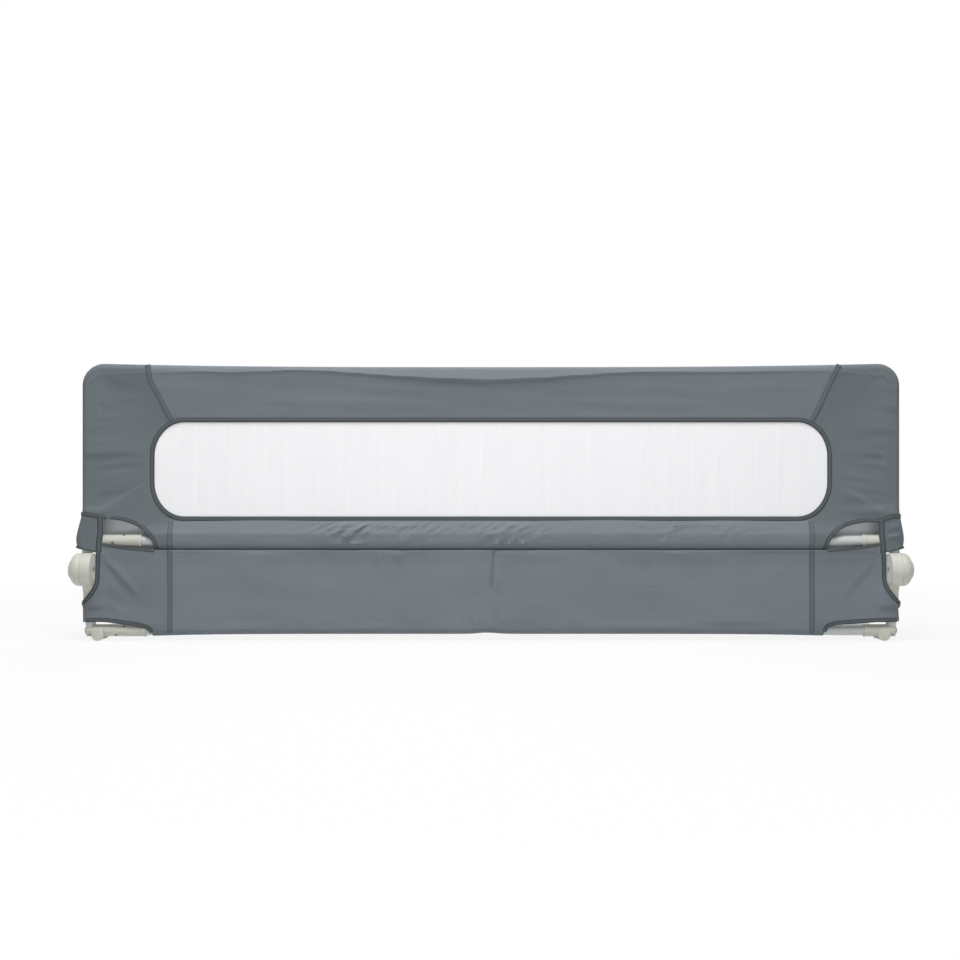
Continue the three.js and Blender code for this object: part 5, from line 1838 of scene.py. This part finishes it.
    def build(self) -> None:
        """Makes the skirt with its tapes."""
        sheet = Sheet()
        inner, fold_reach = 706.0, 48.0
        xs = [mix(fold_reach, inner, i / 180) for i in range(181)]
        middle = [mix(-fold_reach, fold_reach, i / 80) for i in range(1, 80)]
        columns = [self.column(x) for x in [*(-x for x in reversed(xs)), *middle, *xs]]
        ends = (709.0, 712.0, 715.0, 718.5, 722.0, 725.0, 728.0, 731.0, 733.5, AT.lower_post_x)
        sides = []
        for side in Side:
            flat = [self.column(side.value * x) for x in ends]
            sides.append(flat + [self.wrapped(side, a) for a in range(12, 169, 12)])
        sheet.weave([*reversed(sides[0]), *columns, *sides[1]])
        corners = []
        for side in Side:
            edge = self.corner_edge(side)
            corners.append([*edge, (BEYOND_X, edge[-1][1]), (BEYOND_X, -20.0), (edge[0][0], -20.0)])
        hub = self.hub_cut()
        for outline in (hub, flipped(hub), corners[1], flipped(corners[0]), self.top_edge()):
            sheet.trim(outline)
        bm = sheet.bm
        bmesh.ops.recalc_face_normals(bm, faces=bm.faces)
        thick = sheet.thicken(AT.cloth, 0.35, 0.25)
        cloth = finish("skirt_cloth", thick, Body.BASE, COVER_CLOTH, ["skirt"], sharp=50, ride=False)
        self._fold(cloth)
        tapes = [*self._tapes(Side.LEFT), *self._tapes(Side.RIGHT)]

    def top_edge(self) -> list[Point2]:
        """What is cut off above: level under the cover, rising to the outer edge of each opening.

        Returns:
            (x, z) corners, in order round.
        """
        z = AT.crease_z - 0.2
        rise = [(616.0, z), (640.0, z + 1.6), (670.0, z + 4.6), (700.0, z + 9.0), (710.5, z + self.rise)]
        rise += [(710.6, 161.0), (722.1, 161.0)]
        above = [(BEYOND_X, 161.0), (BEYOND_X, 300.0), (-BEYOND_X, 300.0), (-BEYOND_X, 161.0)]
        return [*flipped(rise), *rise, *above]

    def face_y(self, x: float, z: float) -> float:
        """The depth of the skirt's face, for tape that lies on it.

        Args:
            x: the place along the guard.
            z: the height.

        Returns:
            The place along Y.
        """
        z0 = AT.bottom_rail_z + AT.rail_rise(x)
        reach = AT.tube + AT.clearance + AT.cloth
        if z < z0:
            return -math.sqrt(max(reach**2 - (z0 - z) ** 2, 0))
        return -mix(reach, self.depth(x, z) + self.relief(x, z), smooth(z, z0, z0 + 14))

    def _fold(self, piece: Object) -> None:
        """Bakes a piece of the skirt's transform into its mesh."""
        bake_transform(piece)

    @staticmethod
    def _finer(points: Sequence[Point2], steps: int, up: float) -> list[Point2]:
        """A way through points in shorter steps, moved up."""
        pairs = [(a, b, i / steps) for a, b in zip(points, points[1:]) for i in range(steps)]
        return [(mix(a[0], b[0], share), mix(a[1], b[1], share) + up) for a, b, share in pairs]

    def _tapes(self, side: Side) -> list[Object]:
        """The bindings and the seam at one end.

        Args:
            side: the end of the guard.

        Returns:
            The four tapes.
        """
        sign = side.value
        half = self.tape_width / 2 - 0.6
        top = [*(p for p in self.top_edge() if 615 <= p[0] <= 710.55), (716.0, AT.crease_z + self.rise)]
        rise = self._finer(top, 6, -1.2)
        heights = [mix(163.5, self.cut_turn, i / 16) for i in range(16)]
        cut = [(self.cut_x - half - 0.9 * smooth(z, 120, 160), z) for z in heights]
        edge = self.corner_edge(side)[1:]
        foot = [(x, z) for x, z in self._finer(edge, 5, half) if x < AT.lower_post_x + 10]
        seam_end = 9.0 + AT.rail_rise(587)
        seam = [(SEAM_FOOT_X, mix(AT.crease_z - 1, seam_end, i / 46)) for i in range(46)]
        made = []
        ways = (
            ("rise", rise, 4.6, 2.2, -0.2, EDGE_TAPE),
            ("cutout", cut + self.hub_curve(half, 24), self.tape_width, 2.8, -0.3, EDGE_TAPE),
            ("corner", foot, self.tape_width, 2.8, -0.3, EDGE_TAPE),
            ("seam", seam, 9.6, 1.6, 0.15, SEAM_SHADE_TAPE),
        )
        for name, places, width, thick, lift, look in ways:
            points, normals = [], []
            for x, z in places:
                points.append(self._on_face(x, z, lift, sign))
                dz = (self.face_y(sign * x, z + 3) - self.face_y(sign * x, z - 3)) / 6
                normal = Vector((0, -1, dz)).normalized()
                if x > AT.lower_post_x + 0.01:
                    out = points[-1] - Vector((AT.lower_post_x, 0, z))
                    normal = out.normalized()
                normals.append(normal)
            bm = for_end(side, tape(points, normals, width, thick))
            piece = finish(f"skirt_tape_{name}_{side.word}", bm, Body.BASE, look, ride=False)
            self._fold(piece)
            made.append(piece)
        return made

    def _on_face(self, x: float, z: float, lift: float, sign: int) -> Vector:
        """A tape's place on one end of the skirt, which goes round the post there.

        Args:
            x: the place along the guard.
            z: the height.
            lift: how far the tape's middle stands off the cloth.
            sign: the sign of X at that end.

        Returns:
            The place, as on the right.
        """
        if x <= AT.lower_post_x:
            return Vector((x, self.face_y(sign * x, z) - lift, z))
        reach = max(-self.face_y(sign * AT.lower_post_x, z), self.least[Side.of(sign)]) + lift
        turn = math.asin(min((x - AT.lower_post_x) / reach, 1))
        return Vector((AT.lower_post_x + reach * math.sin(turn), -reach * math.cos(turn), z))


# Tubes and fittings


@dataclass
class Screws:
    """The small pan-head screws that hold sleeves and posts."""

    head: float = 2.4
    head_height: float = 0.9
    shank: float = 1.2
    length: float = 4.4

    def build(self, node: str, body: Body) -> None:
        """Makes one screw where its solid is.

        Args:
            node: the screw's node.
            body: the body that it rides on.
        """
        low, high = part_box(node)
        centre = (Vector(low) + Vector(high)) / 2 / METRE - Vector((0, TUBE_PLANE_Y, 0))
        axis = self.AXES[node.rsplit("_", 1)[0] if node.rsplit("_", 1)[1] in ("left", "right") else node]
        out = Vector(axis).normalized()
        dome = [(0, 0.25), (1.2, 0.22), (1.9, 0.08), (self.head, -0.25), (self.head, -self.head_height)]
        profile = [*dome, (self.shank, -self.head_height), (self.shank, -self.length), (0, -self.length)]
        solid = Solid(spun(profile, Along.Z, (0, 0, 0), 24))
        solid.cut(box((-1.5, -0.28, -0.45), (1.5, 0.28, 1)), box((-0.28, -1.5, -0.45), (0.28, 1.5, 1)))
        bm = solid.done()
        turn = Vector((0, 0, 1)).rotation_difference(out).to_matrix().to_4x4()
        middle = out * (self.length / 2)
        bmesh.ops.transform(bm, matrix=Matrix.Translation(centre + middle) @ turn, verts=bm.verts)
        finish(node.replace("screw", "pan_screw"), bm, body, SCREW_ZINC, [node])

    AXES = {
        "middle_sleeve_screw_1": (0, -math.cos(math.radians(-19)), math.sin(math.radians(-19))),
        "middle_sleeve_screw_2": (0, -math.cos(math.radians(72)), math.sin(math.radians(72))),
        "bottom_sleeve_screw_1": (0, -math.cos(math.radians(-48)), math.sin(math.radians(-48))),
        "bottom_sleeve_screw_2": (0, -math.cos(math.radians(50)), math.sin(math.radians(50))),
        "corner_screw": (0, -1, -1),
        "lower_arm_screw": (0, 1, 0),
        "upper_arm_screw": (0, 1, 0),
    }


@dataclass
class Tubes:
    """The bare steel tubes that the eye can reach."""

    leg_end: float = 428.1

    def build(self) -> None:
        """Makes the rails, posts and legs."""
        for side in Side:
            sign = side.value
            long = side is Side.LEFT
            short = AT.clearance + (Fittings.spigot if long else 0)
            bottom, middle = AT.bottom_barrel_end - short, AT.middle_barrel_end - short
            self._rail(f"bottom_rail_{side.word}", sign, bottom, AT.bottom_rail_z, Body.BASE, bowed=True)
            self._rail(f"middle_rail_{side.word}", sign, middle, AT.middle_rail_z, Body.GUARD, bowed=False)
            leg = pipe(AT.tube, AT.bore, -10.4, self.leg_end, Along.Y, (sign * AT.leg_x, 0, AT.leg_z))
            finish(f"leg_tube_{side.word}", leg, Body.BASE, TUBE_COAT, [f"leg_{side.word}"])
            self._lower_post(side)

    def _rail(self, node: str, sign: int, end: float, z: float, body: Body, bowed: bool) -> None:
        """Makes half a rail from mid width outwards.

        Args:
            node: the half rail's node.
            sign: the sign of X at its end.
            end: where it ends.
            z: its height.
            body: the body that it rides on.
            bowed: whether the cover draws it up.
        """
        steps = 40
        outer = [(AT.tube, mix(0.15, end, i / steps)) for i in range(steps + 1)]
        inner = [(AT.bore, place) for _, place in reversed(outer)]
        profile = rounded([*outer, *inner, outer[0]], 0.35, 2)
        bm = spun(profile, Along.X, (0, 0, z), 40)
        if bowed:
            for vert in bm.verts:
                vert.co.z += AT.rail_rise(vert.co.x)
        if sign < 0:
            mirrored(bm)
        finish(node.replace("rail", "rail_tube"), bm, body, TUBE_COAT, [node])

    def _lower_post(self, side: Side) -> None:
        """Makes the short post with its saddle cut over the corner fitting.

        Args:
            side: the end of the guard.
        """
        x = AT.lower_post_x
        solid = Solid(pipe(AT.tube, AT.bore, AT.bottom_rail_z, 95.8, Along.Z, (x, 0, 0)))
        solid.cut(rod(AT.sleeve + AT.clearance, x - 40, x + 40, Along.X, (0, 0, AT.bottom_rail_z)))
        bm = for_end(side, solid.done(0.25))
        finish(f"lower_post_tube_{side.word}", bm, Body.BASE, TUBE_COAT, [f"lower_post_{side.word}"])


@dataclass
class Fittings:
    """The moulded corner fittings, sleeves and leg caps."""

    long_sleeve: float = 75.0
    spigot: float = 44.0
    lip_width: float = 4.0

    def barrel(self, start: float, mouth: float, z: float) -> BMesh:
        """The outside of a sleeve that ends in a lipped mouth towards mid width.

        Args:
            start: the sleeve's outer end.
            mouth: its mouth.
            z: the height of its axis.

        Returns:
            The body as a bmesh.
        """
        lip = AT.sleeve + AT.lip
        ledge, wall = mouth + self.lip_width, AT.sleeve
        profile = [(0, mouth), (lip, mouth), (lip, ledge), (wall, ledge + 1.2), (wall, start), (0, start)]
        return spun(rounded(profile, 0.6), Along.X, (0, 0, z))

    def sleeve(self, name: str, start: float, z: float, body: Body) -> None:
        """Makes a long sleeve, which is at the left end only.

        Args:
            name: the sleeve's node.
            start: where its barrel starts.
            z: the height of its rail.
            body: the body that it rides on.
        """
        outer = start - AT.clearance
        mouth = outer - self.long_sleeve
        solid = Solid(self.barrel(outer, mouth, z))
        solid.cut(rod(AT.sleeve_bore, mouth - 5, start + 5, Along.X, (0, 0, z)))
        for share, degrees in {183.0: ((0.31, -19), (0.57, 72)), 18.5: ((0.29, -48), (0.49, 50))}[z]:
            turn = math.radians(degrees)
            out = Vector((0, -math.cos(turn), math.sin(turn)))
            hole = rod(3.3, -3.5, 4, Along.Z, (0, 0, 0), 24)
            at = Vector((start - self.long_sleeve * share, 0, z)) + out * (AT.sleeve + 2.9)
            matrix = Matrix.Translation(at) @ Vector((0, 0, 1)).rotation_difference(out).to_matrix().to_4x4()
            bmesh.ops.transform(hole, matrix=matrix, verts=hole.verts)
            solid.cut(hole)
        finish(name.replace("sleeve", "rail_sleeve"), mirrored(solid.done(0.15)), body, HUB_PLASTIC, [name])

    def mouth(self, solid: Solid, start: float, z: float, long: bool, socket: float) -> None:
        """Adds the end that takes a rail: a spigot for a long sleeve, or a short socket.

        Args:
            solid: the fitting.
            start: where the rail starts.
            z: the height of the rail.
            long: whether a long sleeve follows.
            socket: the short socket's depth.
        """
        if long:
            solid.join(rod(AT.tube, start - self.spigot, start + 3, Along.X, (0, 0, z)))
            return
        solid.join(self.barrel(start + 3, start - socket, z))
        solid.cut(rod(AT.sleeve_bore, start - socket - 5, start, Along.X, (0, 0, z)))

    def corner(self, side: Side) -> None:
        """Makes one corner fitting: barrel, leg socket and the spigot of the post.

        Args:
            side: the end of the guard.
        """
        long = side is Side.LEFT
        start, x = AT.bottom_barrel_end, AT.lower_post_x
        wall = AT.sleeve
        turns = [math.pi / 2 * i / 12 for i in range(12)]
        dome = [*((wall * math.cos(a), x + wall * math.sin(a)) for a in turns), (0, x + wall)]
        profile = [(0, start), (wall - 0.5, start), (wall, start + 0.5), *dome]
        solid = Solid(spun(profile, Along.X, (0, 0, AT.bottom_rail_z)))
        socket = [(0, -12), (wall, -12), (wall, 30), (wall + 0.7, 30.8), (wall + 0.7, 34), (0, 34)]
        solid.join(spun(rounded(socket, 1.2, 4), Along.Y, (AT.leg_x, 0, AT.leg_z)))
        solid.join(rod(8.0, 8, 58.5, Along.Z, (x, 0, 0)))
        self.mouth(solid, start, AT.bottom_rail_z, long, 24)
        solid.cut(rod(AT.sleeve_bore, -10.7, 40, Along.Y, (AT.leg_x, 0, AT.leg_z)))
        bm = for_end(side, solid.done(0.35))
        finish(f"corner_moulding_{side.word}", bm, Body.BASE, HUB_PLASTIC, [f"corner_fitting_{side.word}"])

    def cap(self, side: Side) -> None:
        """Makes one leg's end cap with its flat foot.

        Args:
            side: the end of the guard.
        """
        at = (side.value * AT.leg_x, 0, AT.leg_z)
        x = side.value * AT.leg_x
        crown = [(0, 402), (AT.sleeve, 402), (AT.sleeve, 430), (0, 430)]
        solid = Solid(spun(rounded(crown, 2.2, 5), Along.Y, at))
        solid.join(box((x - 8, 403.6, 0), (x + 8, 423.6, 6)))
        solid.cut(rod(AT.sleeve_bore, 397, 428.4, Along.Y, at))
        for place in (407.5, 412.0, 416.5):
            solid.cut(closed_ring(AT.sleeve + 1, AT.sleeve - 0.5, place, place + 1.6, at))
        finish(f"leg_end_cap_{side.word}", solid.done(0.3), Body.BASE, CAP_RUBBER, [f"leg_cap_{side.word}"])

    def build(self) -> None:
        """Makes every fitting."""
        self.sleeve("bottom_sleeve", AT.bottom_barrel_end, AT.bottom_rail_z, Body.BASE)
        self.sleeve("middle_sleeve", AT.middle_barrel_end, AT.middle_rail_z, Body.GUARD)
        for side in Side:
            self.corner(side)
            self.cap(side)


def closed_ring(outer: float, inner: float, start: float, end: float, at: Sequence[float]) -> BMesh:
    """A ring along Y, used to cut a groove."""
    corners = [(inner, start), (outer, start), (outer, end), (inner, end), (inner, start)]
    return spun(corners, Along.Y, at)


@dataclass
class Hub:
    """One hub: the fixed arm's drum, the moving arm's dome, the push button, the bolt and the lock spring."""

    side: Side
    inner_x: float = 725.5
    split_x: float = 745.0
    dome_x: float = 764.0
    button: float = 16.0
    dome_depth: float = 12.5

    def _finish(self, name: str, bm: BMesh, body: Body, look: Finish, node: str) -> Object:
        """Finishes a piece, made as on the right, for this hub's end."""
        end = self.side.word
        return finish(f"{name}_{end}", for_end(self.side, bm), body, look, [f"{node}_{end}"])

    def lower_arm(self) -> None:
        """Makes the fixed arm: a drum over the socket of the post."""
        half = (self.split_x - self.inner_x) / 2
        middle = self.inner_x + half
        x = AT.lower_post_x
        rings = [
            Ring(x, 0, AT.socket - 1.2, AT.socket - 1.2, 63.5, 2),
            Ring(x, 0, AT.socket, AT.socket, 64.9, 2),
            Ring(x, 0, AT.socket, AT.socket, 86, 2),
            Ring(x, AT.pivot_y / 4, AT.socket, AT.socket, AT.pivot_z - AT.hub, 2.3),
            Ring(middle + 0.3, AT.pivot_y / 2, half, AT.hub * 0.6, AT.pivot_z - half * 1.2, 2.8),
            Ring(middle, AT.pivot_y / 2, half - 0.4, AT.hub * 0.55, AT.pivot_z - half * 0.4, 3),
        ]
        bore, head, groove, web = 3.3, 5.4, 25.8, self.inner_x + 6
        x0, x1, rim = self.inner_x, self.split_x, AT.hub
        cup = [(head, x0), (groove, x0), (groove, x0 + 0.7), (groove + 1, x0 + 0.7), (groove + 1, x0)]
        cup += [*self._round_rim(), (rim, x1 - 0.4), (rim - 0.4, x1), (20.8, x1), (20.4, x1 - 0.4)]
        cup += [(20.4, web + 1), (19.4, web), (bore, web), (bore, x0 + 3.3), (head, x0 + 3.3), (head, x0)]
        solid = Solid(lofted(rings))
        solid.cut(rod(27.4, 700, 800, Along.X, HUB_AXIS, 48))
        solid.cut(rod(AT.hub + 0.35, self.split_x - 0.3, 800, Along.X, HUB_AXIS, 64))
        solid.join(spun(cup, Along.X, HUB_AXIS, 64))
        solid.cut(rod(AT.sleeve_bore, 50, 96, Along.Z, (x, 0, 0)))
        solid.cut(rod(2.9, 11.2, 30, Along.Y, (x, 0, 78.7), 24))
        self._finish("lower_arm_moulding", solid.done(0.3), Body.BASE, HUB_PLASTIC, "lower_arm")

    def _round_rim(self) -> list[Point2]:
        """The rounded edge of the drum's inner face, as (radius, x)."""
        turns = [math.pi / 2 * i / 5 for i in range(6)]
        return [(AT.hub - 2 + 2 * math.sin(a), self.inner_x + 2 - 2 * math.cos(a)) for a in turns]

    def upper_arm(self) -> None:
        """Makes the moving arm: the domed drum, the neck, the T for the middle rail and the post's socket."""
        long = self.side is Side.LEFT
        start, post = self.split_x + 0.3, AT.side_post_x
        middle, half = (start + self.dome_x) / 2, 9.35
        neck = AT.socket * 0.72
        rings = [
            Ring(middle - 2.3, -8, half * 0.72, 15, AT.pivot_z + half, 3),
            Ring(middle - 4.7, -5.3, half * 0.62, 13.5, AT.pivot_z + AT.hub * 0.72, 3),
            Ring(post + 1.2, -2, neck, neck, AT.pivot_z + 31, 2.4),
            Ring(post, 0, AT.socket, AT.socket, AT.middle_rail_z - 5.5, 2),
            Ring(post, 0, AT.socket, AT.socket, AT.middle_rail_z + 11, 2),
            Ring(post, 0, 11.6, 11.6, 225.0, 2),
            Ring(post, 0, 10.9, 10.9, 226.0, 2),
        ]
        bore, web, floor = 3.3, 749.8, 753.1
        shell: list[Point2] = [(bore, web), (20.6, web), (20.6, start)]
        shell += [(AT.hub - 0.4, start), (AT.hub, start + 0.4)]
        face = self.button + 1.5
        base = self.dome_x - self.dome_depth
        for i in range(15):
            angle = math.pi / 2 * i / 14
            shell.append((face + (AT.hub - face) * math.cos(angle), base + self.dome_depth * math.sin(angle)))
        rim = self.button + 0.3
        shell += [(rim + 0.5, self.dome_x), (rim, self.dome_x - 0.5), (rim, floor)]
        shell += [(bore, floor), (bore, web)]
        solid = Solid(lofted(rings))
        solid.cut(rod(26, 700, 800, Along.X, HUB_AXIS, 48))
        solid.cut(rod(AT.hub + 0.35, 700, start + 0.3, Along.X, HUB_AXIS, 64))
        solid.join(spun(shell, Along.X, HUB_AXIS, 64))
        solid.join(rod(AT.sleeve, AT.middle_barrel_end, post, Along.X, (0, 0, AT.middle_rail_z)))
        Fittings().mouth(solid, AT.middle_barrel_end, AT.middle_rail_z, long, 34)
        solid.cut(rod(AT.sleeve_bore, 197.6, 240, Along.Z, (post, 0, 0)))
        for y, z in self.prongs():
            solid.cut(rod(2.3, 748, 755, Along.X, (0, y, z), 24))
        self._finish("upper_arm_moulding", solid.done(0.3), Body.GUARD, HUB_PLASTIC, "upper_arm")

    @staticmethod
    def prongs() -> list[Point2]:
        """The (y, z) places of the button's prongs.

        Returns:
            Three pairs.
        """
        places = []
        for i in range(3):
            angle = (i + 0.25) / 3 * 2 * math.pi
            places.append((10.7 * math.cos(angle) + AT.pivot_y, 10.7 * math.sin(angle) + AT.pivot_z))
        return places

    def push_button(self) -> None:
        """Makes the round button with a shallow dish in its face."""
        r, face = self.button, self.dome_x + 4
        dish = [(0, face - 1.0), (5, face - 0.85), (9.5, face - 0.35), (12.2, face - 0.02)]
        side = [(r, face), (r, 758.6), (r - 2.2, 758.6), (r - 2.2, 765.6), (0, 765.6)]
        solid = Solid(spun(rounded([*dish, *side], 1.1, 4), Along.X, HUB_AXIS, 64))
        for y, z in self.prongs():
            solid.join(rod(2.0, 747.9, 766.2, Along.X, (0, y, z), 24))
        body = Body.BUTTON_LEFT if self.side is Side.LEFT else Body.BUTTON_RIGHT
        self._finish("button_moulding", solid.done(0.2), body, HUB_PLASTIC, "push_button")

    def bolt(self) -> None:
        """Makes the hub's bolt with the slot that shows in the drum's inner face."""
        x = self.inner_x + 0.5
        profile = [(0, x), (5, x), (5, x + 2.5), (3, x + 2.5), (3, 759.0), (0, 759.0)]
        solid = Solid(spun(rounded(profile, 0.3), Along.X, HUB_AXIS, 32))
        low = (x - 2, AT.pivot_y - 0.75, AT.pivot_z - 4.2)
        high = (x + 1.4, AT.pivot_y + 0.75, AT.pivot_z + 4.2)
        solid.cut(box(low, high))
        self._finish("hub_pin", solid.done(0.1), Body.BASE, SCREW_ZINC, "hub_bolt")

    def lock_spring(self) -> None:
        """Makes the coil spring behind the lock cog, which shortens as the cog is pushed in."""
        start, end, radius, wire, turns, travel = 727.88, 742.5, 9.0, 1.2, 4, 5.2
        bm = bmesh.new()
        steps, sides = turns * 36, 12
        rings = []
        for i in range(steps + 1):
            t = i / steps
            turn = 2 * math.pi * turns * t
            eased = t - 0.09 * math.sin(2 * math.pi * t)
            out = Vector((0, math.cos(turn), math.sin(turn)))
            x = mix(start + wire / 2, end - wire / 2, eased)
            middle = Vector((x, AT.pivot_y, AT.pivot_z)) + out * radius
            ring = []
            for k in range(sides):
                angle = 2 * math.pi * k / sides
                around = out * math.cos(angle) + Vector((math.sin(angle), 0, 0))
                ring.append(bm.verts.new(middle + around * wire / 2))
            rings.append(ring)
        for a, b in zip(rings, rings[1:]):
            for k in range(sides):
                bm.faces.new((a[k], a[(k + 1) % sides], b[(k + 1) % sides], b[k]))
        bm.faces.new(rings[0])
        bm.faces.new(rings[-1])
        bmesh.ops.recalc_face_normals(bm, faces=bm.faces)
        spring = self._finish("coil_lock_spring", bm, Body.BASE, SPRING_WIRE, "lock_spring")
        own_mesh(spring)

    def build(self) -> None:
        """Makes the hub's pieces."""
        self.lower_arm()
        self.lock_spring()
        self.upper_arm()
        self.push_button()
        self.bolt()


# Carried-over solids, light and camera


def dress_solids(frame: dict) -> None:
    """Gives the CAD nodes that stay their finishes.
    """
    hard = (TUBE_COAT, HUB_PLASTIC, SCREW_ZINC, SPRING_WIRE, CAP_RUBBER, COG_PLASTIC)
    looks = {look.slot: look for look in (*hard, COVER_CLOTH, EDGE_TAPE, WINDOW_NET)}
    slots = {s["node"]: s["material_slot"] for s in frame["record"]["subparts"]}
    for name, node in frame["nodes"].items():
        for slot in node.material_slots:
            slot.material = looks[slots[name]].material()


@dataclass
class Studio:
    """The pale floor and backdrop, soft lamps and the camera."""

    distance: float = 2.451
    camera_x: float = -0.02
    camera_z: float = 0.2944
    lens: float = 50.0
    sensor: float = 36.0

    def build(self) -> None:
        """Makes the stage."""
        self._world()
        self._floor()
        self._lamps()
        self._camera()

    def _camera(self) -> None:
        """Sets the camera level and square to the guard."""
        data = bpy.data.cameras.new("camera")
        data.lens, data.sensor_width, data.sensor_fit = self.lens, self.sensor, "AUTO"
        camera = bpy.data.objects.new("camera", data)
        bpy.context.scene.collection.objects.link(camera)
        camera.location = (self.camera_x, TUBE_PLANE_Y * METRE - self.distance, self.camera_z)
        camera.rotation_euler = (math.pi / 2, 0, 0)
        bpy.context.scene.camera = camera

    def _lamps(self) -> None:
        """Sets a broad lamp above and in front, a weak one farther in front and one behind."""
        for name, place, size, power in (
            ("key", (-0.15, -1.1, 2.5), 1.3, 63.5),
            ("fill", (1.4, -3.0, 0.9), 2.0, 6.0),
            ("back", (0.0, 2.2, 2.0), 2.4, 25.0),
        ):
            data = bpy.data.lights.new(name, "AREA")
            data.shape, data.size, data.energy = "SQUARE", size, power
            lamp = bpy.data.objects.new(name, data)
            bpy.context.scene.collection.objects.link(lamp)
            lamp.location = place
            aim = Vector((0, -0.2, 0.25)) - Vector(place)
            lamp.rotation_euler = aim.to_track_quat("-Z", "Y").to_euler()

    @staticmethod
    def _rays(tree: NodeTree) -> Node:
        """The node that tells one kind of ray from another."""
        return tree.nodes.get("Light Path") or add_node(tree, "LightPath")

    def _seen(self, tree: NodeTree) -> Node:
        """1 for what the camera sees, itself or in a gloss, and 0 for all else.

        Args:
            tree: the material's nodes.

        Returns:
            The node that tells.
        """
        rays = self._rays(tree).outputs
        links = {0: rays["Is Camera Ray"], 1: rays["Is Glossy Ray"]}
        return add_node(tree, "Math", links, operation="MAXIMUM")

    def _world(self) -> None:
        """A white surround for the eye and for gloss, and an even grey light for everything else."""
        world = bpy.data.worlds.new("surround")
        bpy.context.scene.world = world
        world.use_nodes = True
        tree = world.node_tree
        tree.nodes.clear()
        transmitted = self._rays(tree).outputs["Is Transmission Ray"]
        seen = add_node(tree, "Math", {0: self._seen(tree), 1: transmitted}, operation="MAXIMUM")
        light = add_node(tree, "Background", {"Color": (0.97, 0.985, 1.0, 1.0), "Strength": 0.3})
        white = add_node(tree, "Background", {"Color": (1, 1, 1, 1), "Strength": 1.0})
        both = add_node(tree, "MixShader", {0: seen, 1: light, 2: white})
        add_node(tree, "OutputWorld", {"Surface": both})

    def _floor(self) -> None:
        """A pale floor that keeps a weak shadow."""
        bm = bmesh.new()
        bmesh.ops.create_grid(bm, x_segments=1, y_segments=1, size=12)
        mesh = bpy.data.meshes.new("floor")
        bm.to_mesh(mesh)
        bm.free()
        floor = bpy.data.objects.new("floor", mesh)
        bpy.context.scene.collection.objects.link(floor)
        floor.location.z = -0.0005
        material = bpy.data.materials.new("pale_floor")
        material.use_nodes = True
        tree = material.node_tree
        tree.nodes.clear()
        seen = self._seen(tree)
        place = add_node(tree, "TexCoord").outputs["Object"]
        away = add_node(tree, "VectorMath", {0: place}, operation="LENGTH")
        fade = add_node(
            tree,
            "MapRange",
            {"Value": away.outputs["Value"], "From Min": 0.9, "From Max": 1.7, "To Min": 0.86, "To Max": 1.0},
        )
        share = add_node(tree, "Math", {0: seen, 1: fade}, operation="MULTIPLY")
        paint = add_node(tree, "BsdfDiffuse", {"Color": linear("#e1e1e0")})
        white = add_node(tree, "Emission", {"Color": (1, 1, 1, 1), "Strength": 1.0})
        both = add_node(tree, "MixShader", {0: share, 1: paint, 2: white})
        add_node(tree, "OutputMaterial", {"Surface": both})
        mesh.materials.append(material)


def main() -> None:
    """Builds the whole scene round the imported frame."""
    logging.basicConfig(level=logging.INFO, format="%(message)s")
    for extra in list(bpy.data.objects):
        bpy.data.objects.remove(extra)
    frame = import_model()
    bpy.context.scene.view_settings.view_transform = "Standard"
    Studio().build()
    dress_solids(frame)
    Tubes().build()
    Fittings().build()
    for side in Side:
        Hub(side).build()
    screws = Screws()
    for node in frame["nodes"]:
        if "screw" in node:
            screws.build(node, Body.GUARD if node.startswith(("middle", "upper")) else Body.BASE)
    Cover().build()
    Skirt().build()


if __name__ == "__main__":
    main()
